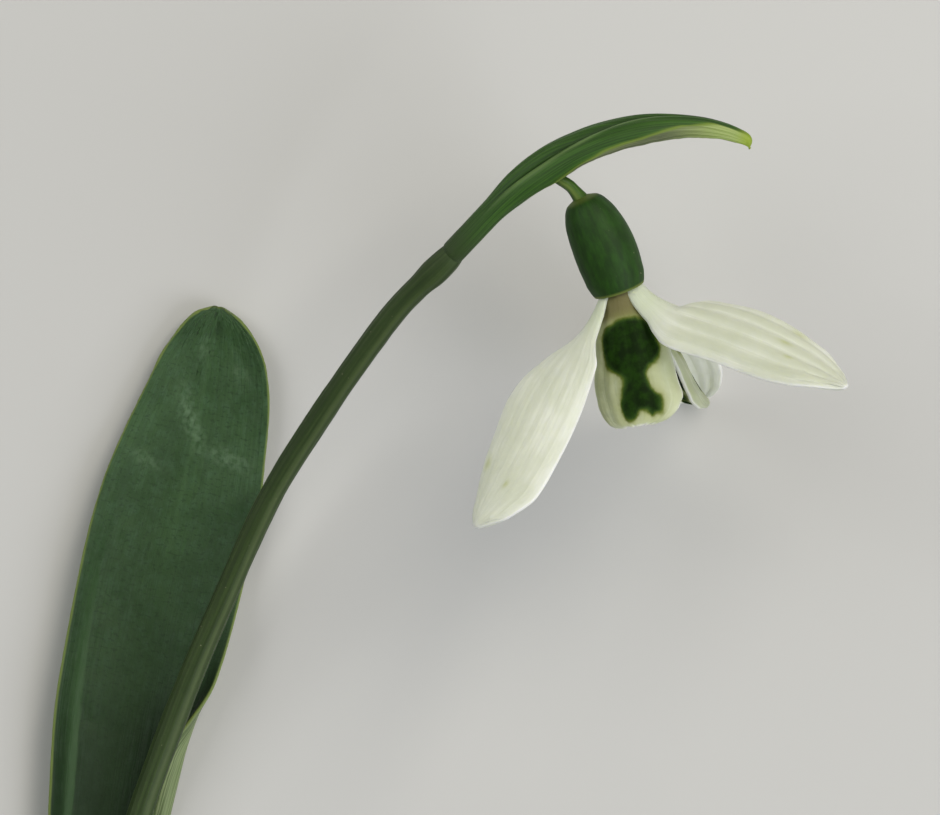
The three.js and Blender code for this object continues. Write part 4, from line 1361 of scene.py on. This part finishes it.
def make_stamen(k):
    """Rings from filament to anther, pinched along the middle where the two sacs meet."""
    out = outward(360 / STAMEN_COUNT * k)
    foot = FLOWER_POINT + AXIS * CLAW_GAP + out * STAMEN_RING
    length = FILAMENT_LENGTH + ANTHER_LENGTH
    tip = foot + AXIS * length - out * TIP_LEAN
    share = FILAMENT_LENGTH / length
    t = np.linspace(0, 1, STAMEN_ROWS)
    angles = ring_angles(STAMEN_SIDES)
    start = [[0, FILAMENT_RADIUS], [share - 0.02, FILAMENT_RADIUS]]
    end = [[0.9, 0.2], [1, 0.1]]
    wide = stations(start + [[share + 0.05, ANTHER_WIDTH], [0.7, ANTHER_WIDTH]] + end, t)
    deep = stations(start + [[share + 0.05, ANTHER_DEPTH], [0.6, 0.38]] + end, t)
    sac = np.tile(smoothstep((t - share) / 0.05)[:, None], (1, STAMEN_SIDES))
    pinch = 1 - 0.16 * sac * np.exp(-((np.cos(angles) / 0.35) ** 2))[None]
    return rod(
        f"stamen_piece_{k + 1}", [foot, tip], t, angles, wide[:, None], deep[:, None] * pinch,
        out, f"stamen_{k + 1}", anther_skin, {"thread": 1 - sac},
    )


for k in range(STAMEN_COUNT):
    make_stamen(k)
style_foot = FLOWER_POINT + AXIS * CLAW_GAP
style_t = np.linspace(0, 1, STYLE_ROWS)
style_radius = stations([[0, STYLE_RADIUS], [0.94, STYLE_RADIUS], [1, 0.16]], style_t)[:, None]
rod(
    "style_piece", [style_foot, style_foot + AXIS * STYLE_LENGTH], style_t, ring_angles(STYLE_SIDES),
    style_radius, style_radius, TOWARDS_VIEWER, "style", style_skin,
    {"thread": np.zeros((STYLE_ROWS, STYLE_SIDES))},
)

# %% [markdown]
# ## Table, light and camera
# The flower lies on a plain pale table. The camera looks straight down from far off with a long lens, so
# that near and far parts keep the same scale, as in a close-up made from a distance. Three large soft lamps
# give the gentle shade: a warm one at the upper right, a cooler one at the lower right, and a weaker one at
# the left. A dim grey world fills in what they leave dark.

# %% Table, light and camera
PIXEL_MM = 0.09
PICTURE_PIXELS = 940
VIEW_CENTRE = (1.95, 17.1)
VIEW_HEIGHT = 16.0
CAMERA_AWAY = 2500.0
SENSOR = 36.0
CAMERA_CLIP = (0.1, 100)
TABLE_HALF = 1.5
LAMP_TARGET = (5, 15, 12)
WORLD_STRENGTH = 0.26


def make_floor():
    """A pale matt board, three metres square, at the lowest point."""
    mesh = bpy.data.meshes.new("table")
    corners = [(-1, -1), (1, -1), (1, 1), (-1, 1)]
    mesh.from_pydata([(x * TABLE_HALF, y * TABLE_HALF, 0) for x, y in corners], [], [(0, 1, 2, 3)])
    floor = bpy.data.objects.new("table", mesh)
    bpy.context.scene.collection.objects.link(floor)
    material, tree = new_material("pale_board")
    board = {"Base Color": linear("#c9c9c5"), "Roughness": 0.8, "Specular IOR Level": 0.2}
    finish_material(tree, board, {})
    mesh.materials.append(material)


def area_light(name, place, size, power, colour):
    """A square lamp at a place, in millimetres, that faces the flower."""
    data = bpy.data.lights.new(name, "AREA")
    data.size = size * MM
    data.energy = power
    data.color = linear(colour)[:3]
    lamp = bpy.data.objects.new(name, data)
    bpy.context.scene.collection.objects.link(lamp)
    way = Vector(LAMP_TARGET) - Vector(place)
    lamp.rotation_euler = way.to_track_quat("-Z", "Y").to_euler()
    lamp.location = Vector(place) * MM


make_floor()
area_light("key", (280, 330, 540), 340, 2.3, "#fff8ee")
area_light("fill", (430, -230, 380), 420, 2.0, "#f6f8ff")
area_light("left", (-380, 200, 460), 380, 1.2, "#ffffff")
world = bpy.data.worlds.new("studio")
world.use_nodes = True
world.node_tree.nodes["Background"].inputs["Color"].default_value = linear("#dfe3e6")
world.node_tree.nodes["Background"].inputs["Strength"].default_value = WORLD_STRENGTH
bpy.context.scene.world = world

camera_data = bpy.data.cameras.new("camera")
camera_data.sensor_width = SENSOR
camera_data.lens = SENSOR * CAMERA_AWAY / (PICTURE_PIXELS * PIXEL_MM)
camera_data.clip_start, camera_data.clip_end = CAMERA_CLIP
camera = bpy.data.objects.new("camera", camera_data)
bpy.context.scene.collection.objects.link(camera)
camera.location = (VIEW_CENTRE[0] * MM, VIEW_CENTRE[1] * MM, (VIEW_HEIGHT + CAMERA_AWAY) * MM)
camera.rotation_euler = (0, 0, 0)
bpy.context.scene.camera = camera
bpy.context.scene.view_settings.view_transform = "Standard"
print("lens", round(camera_data.lens, 1), "mm")
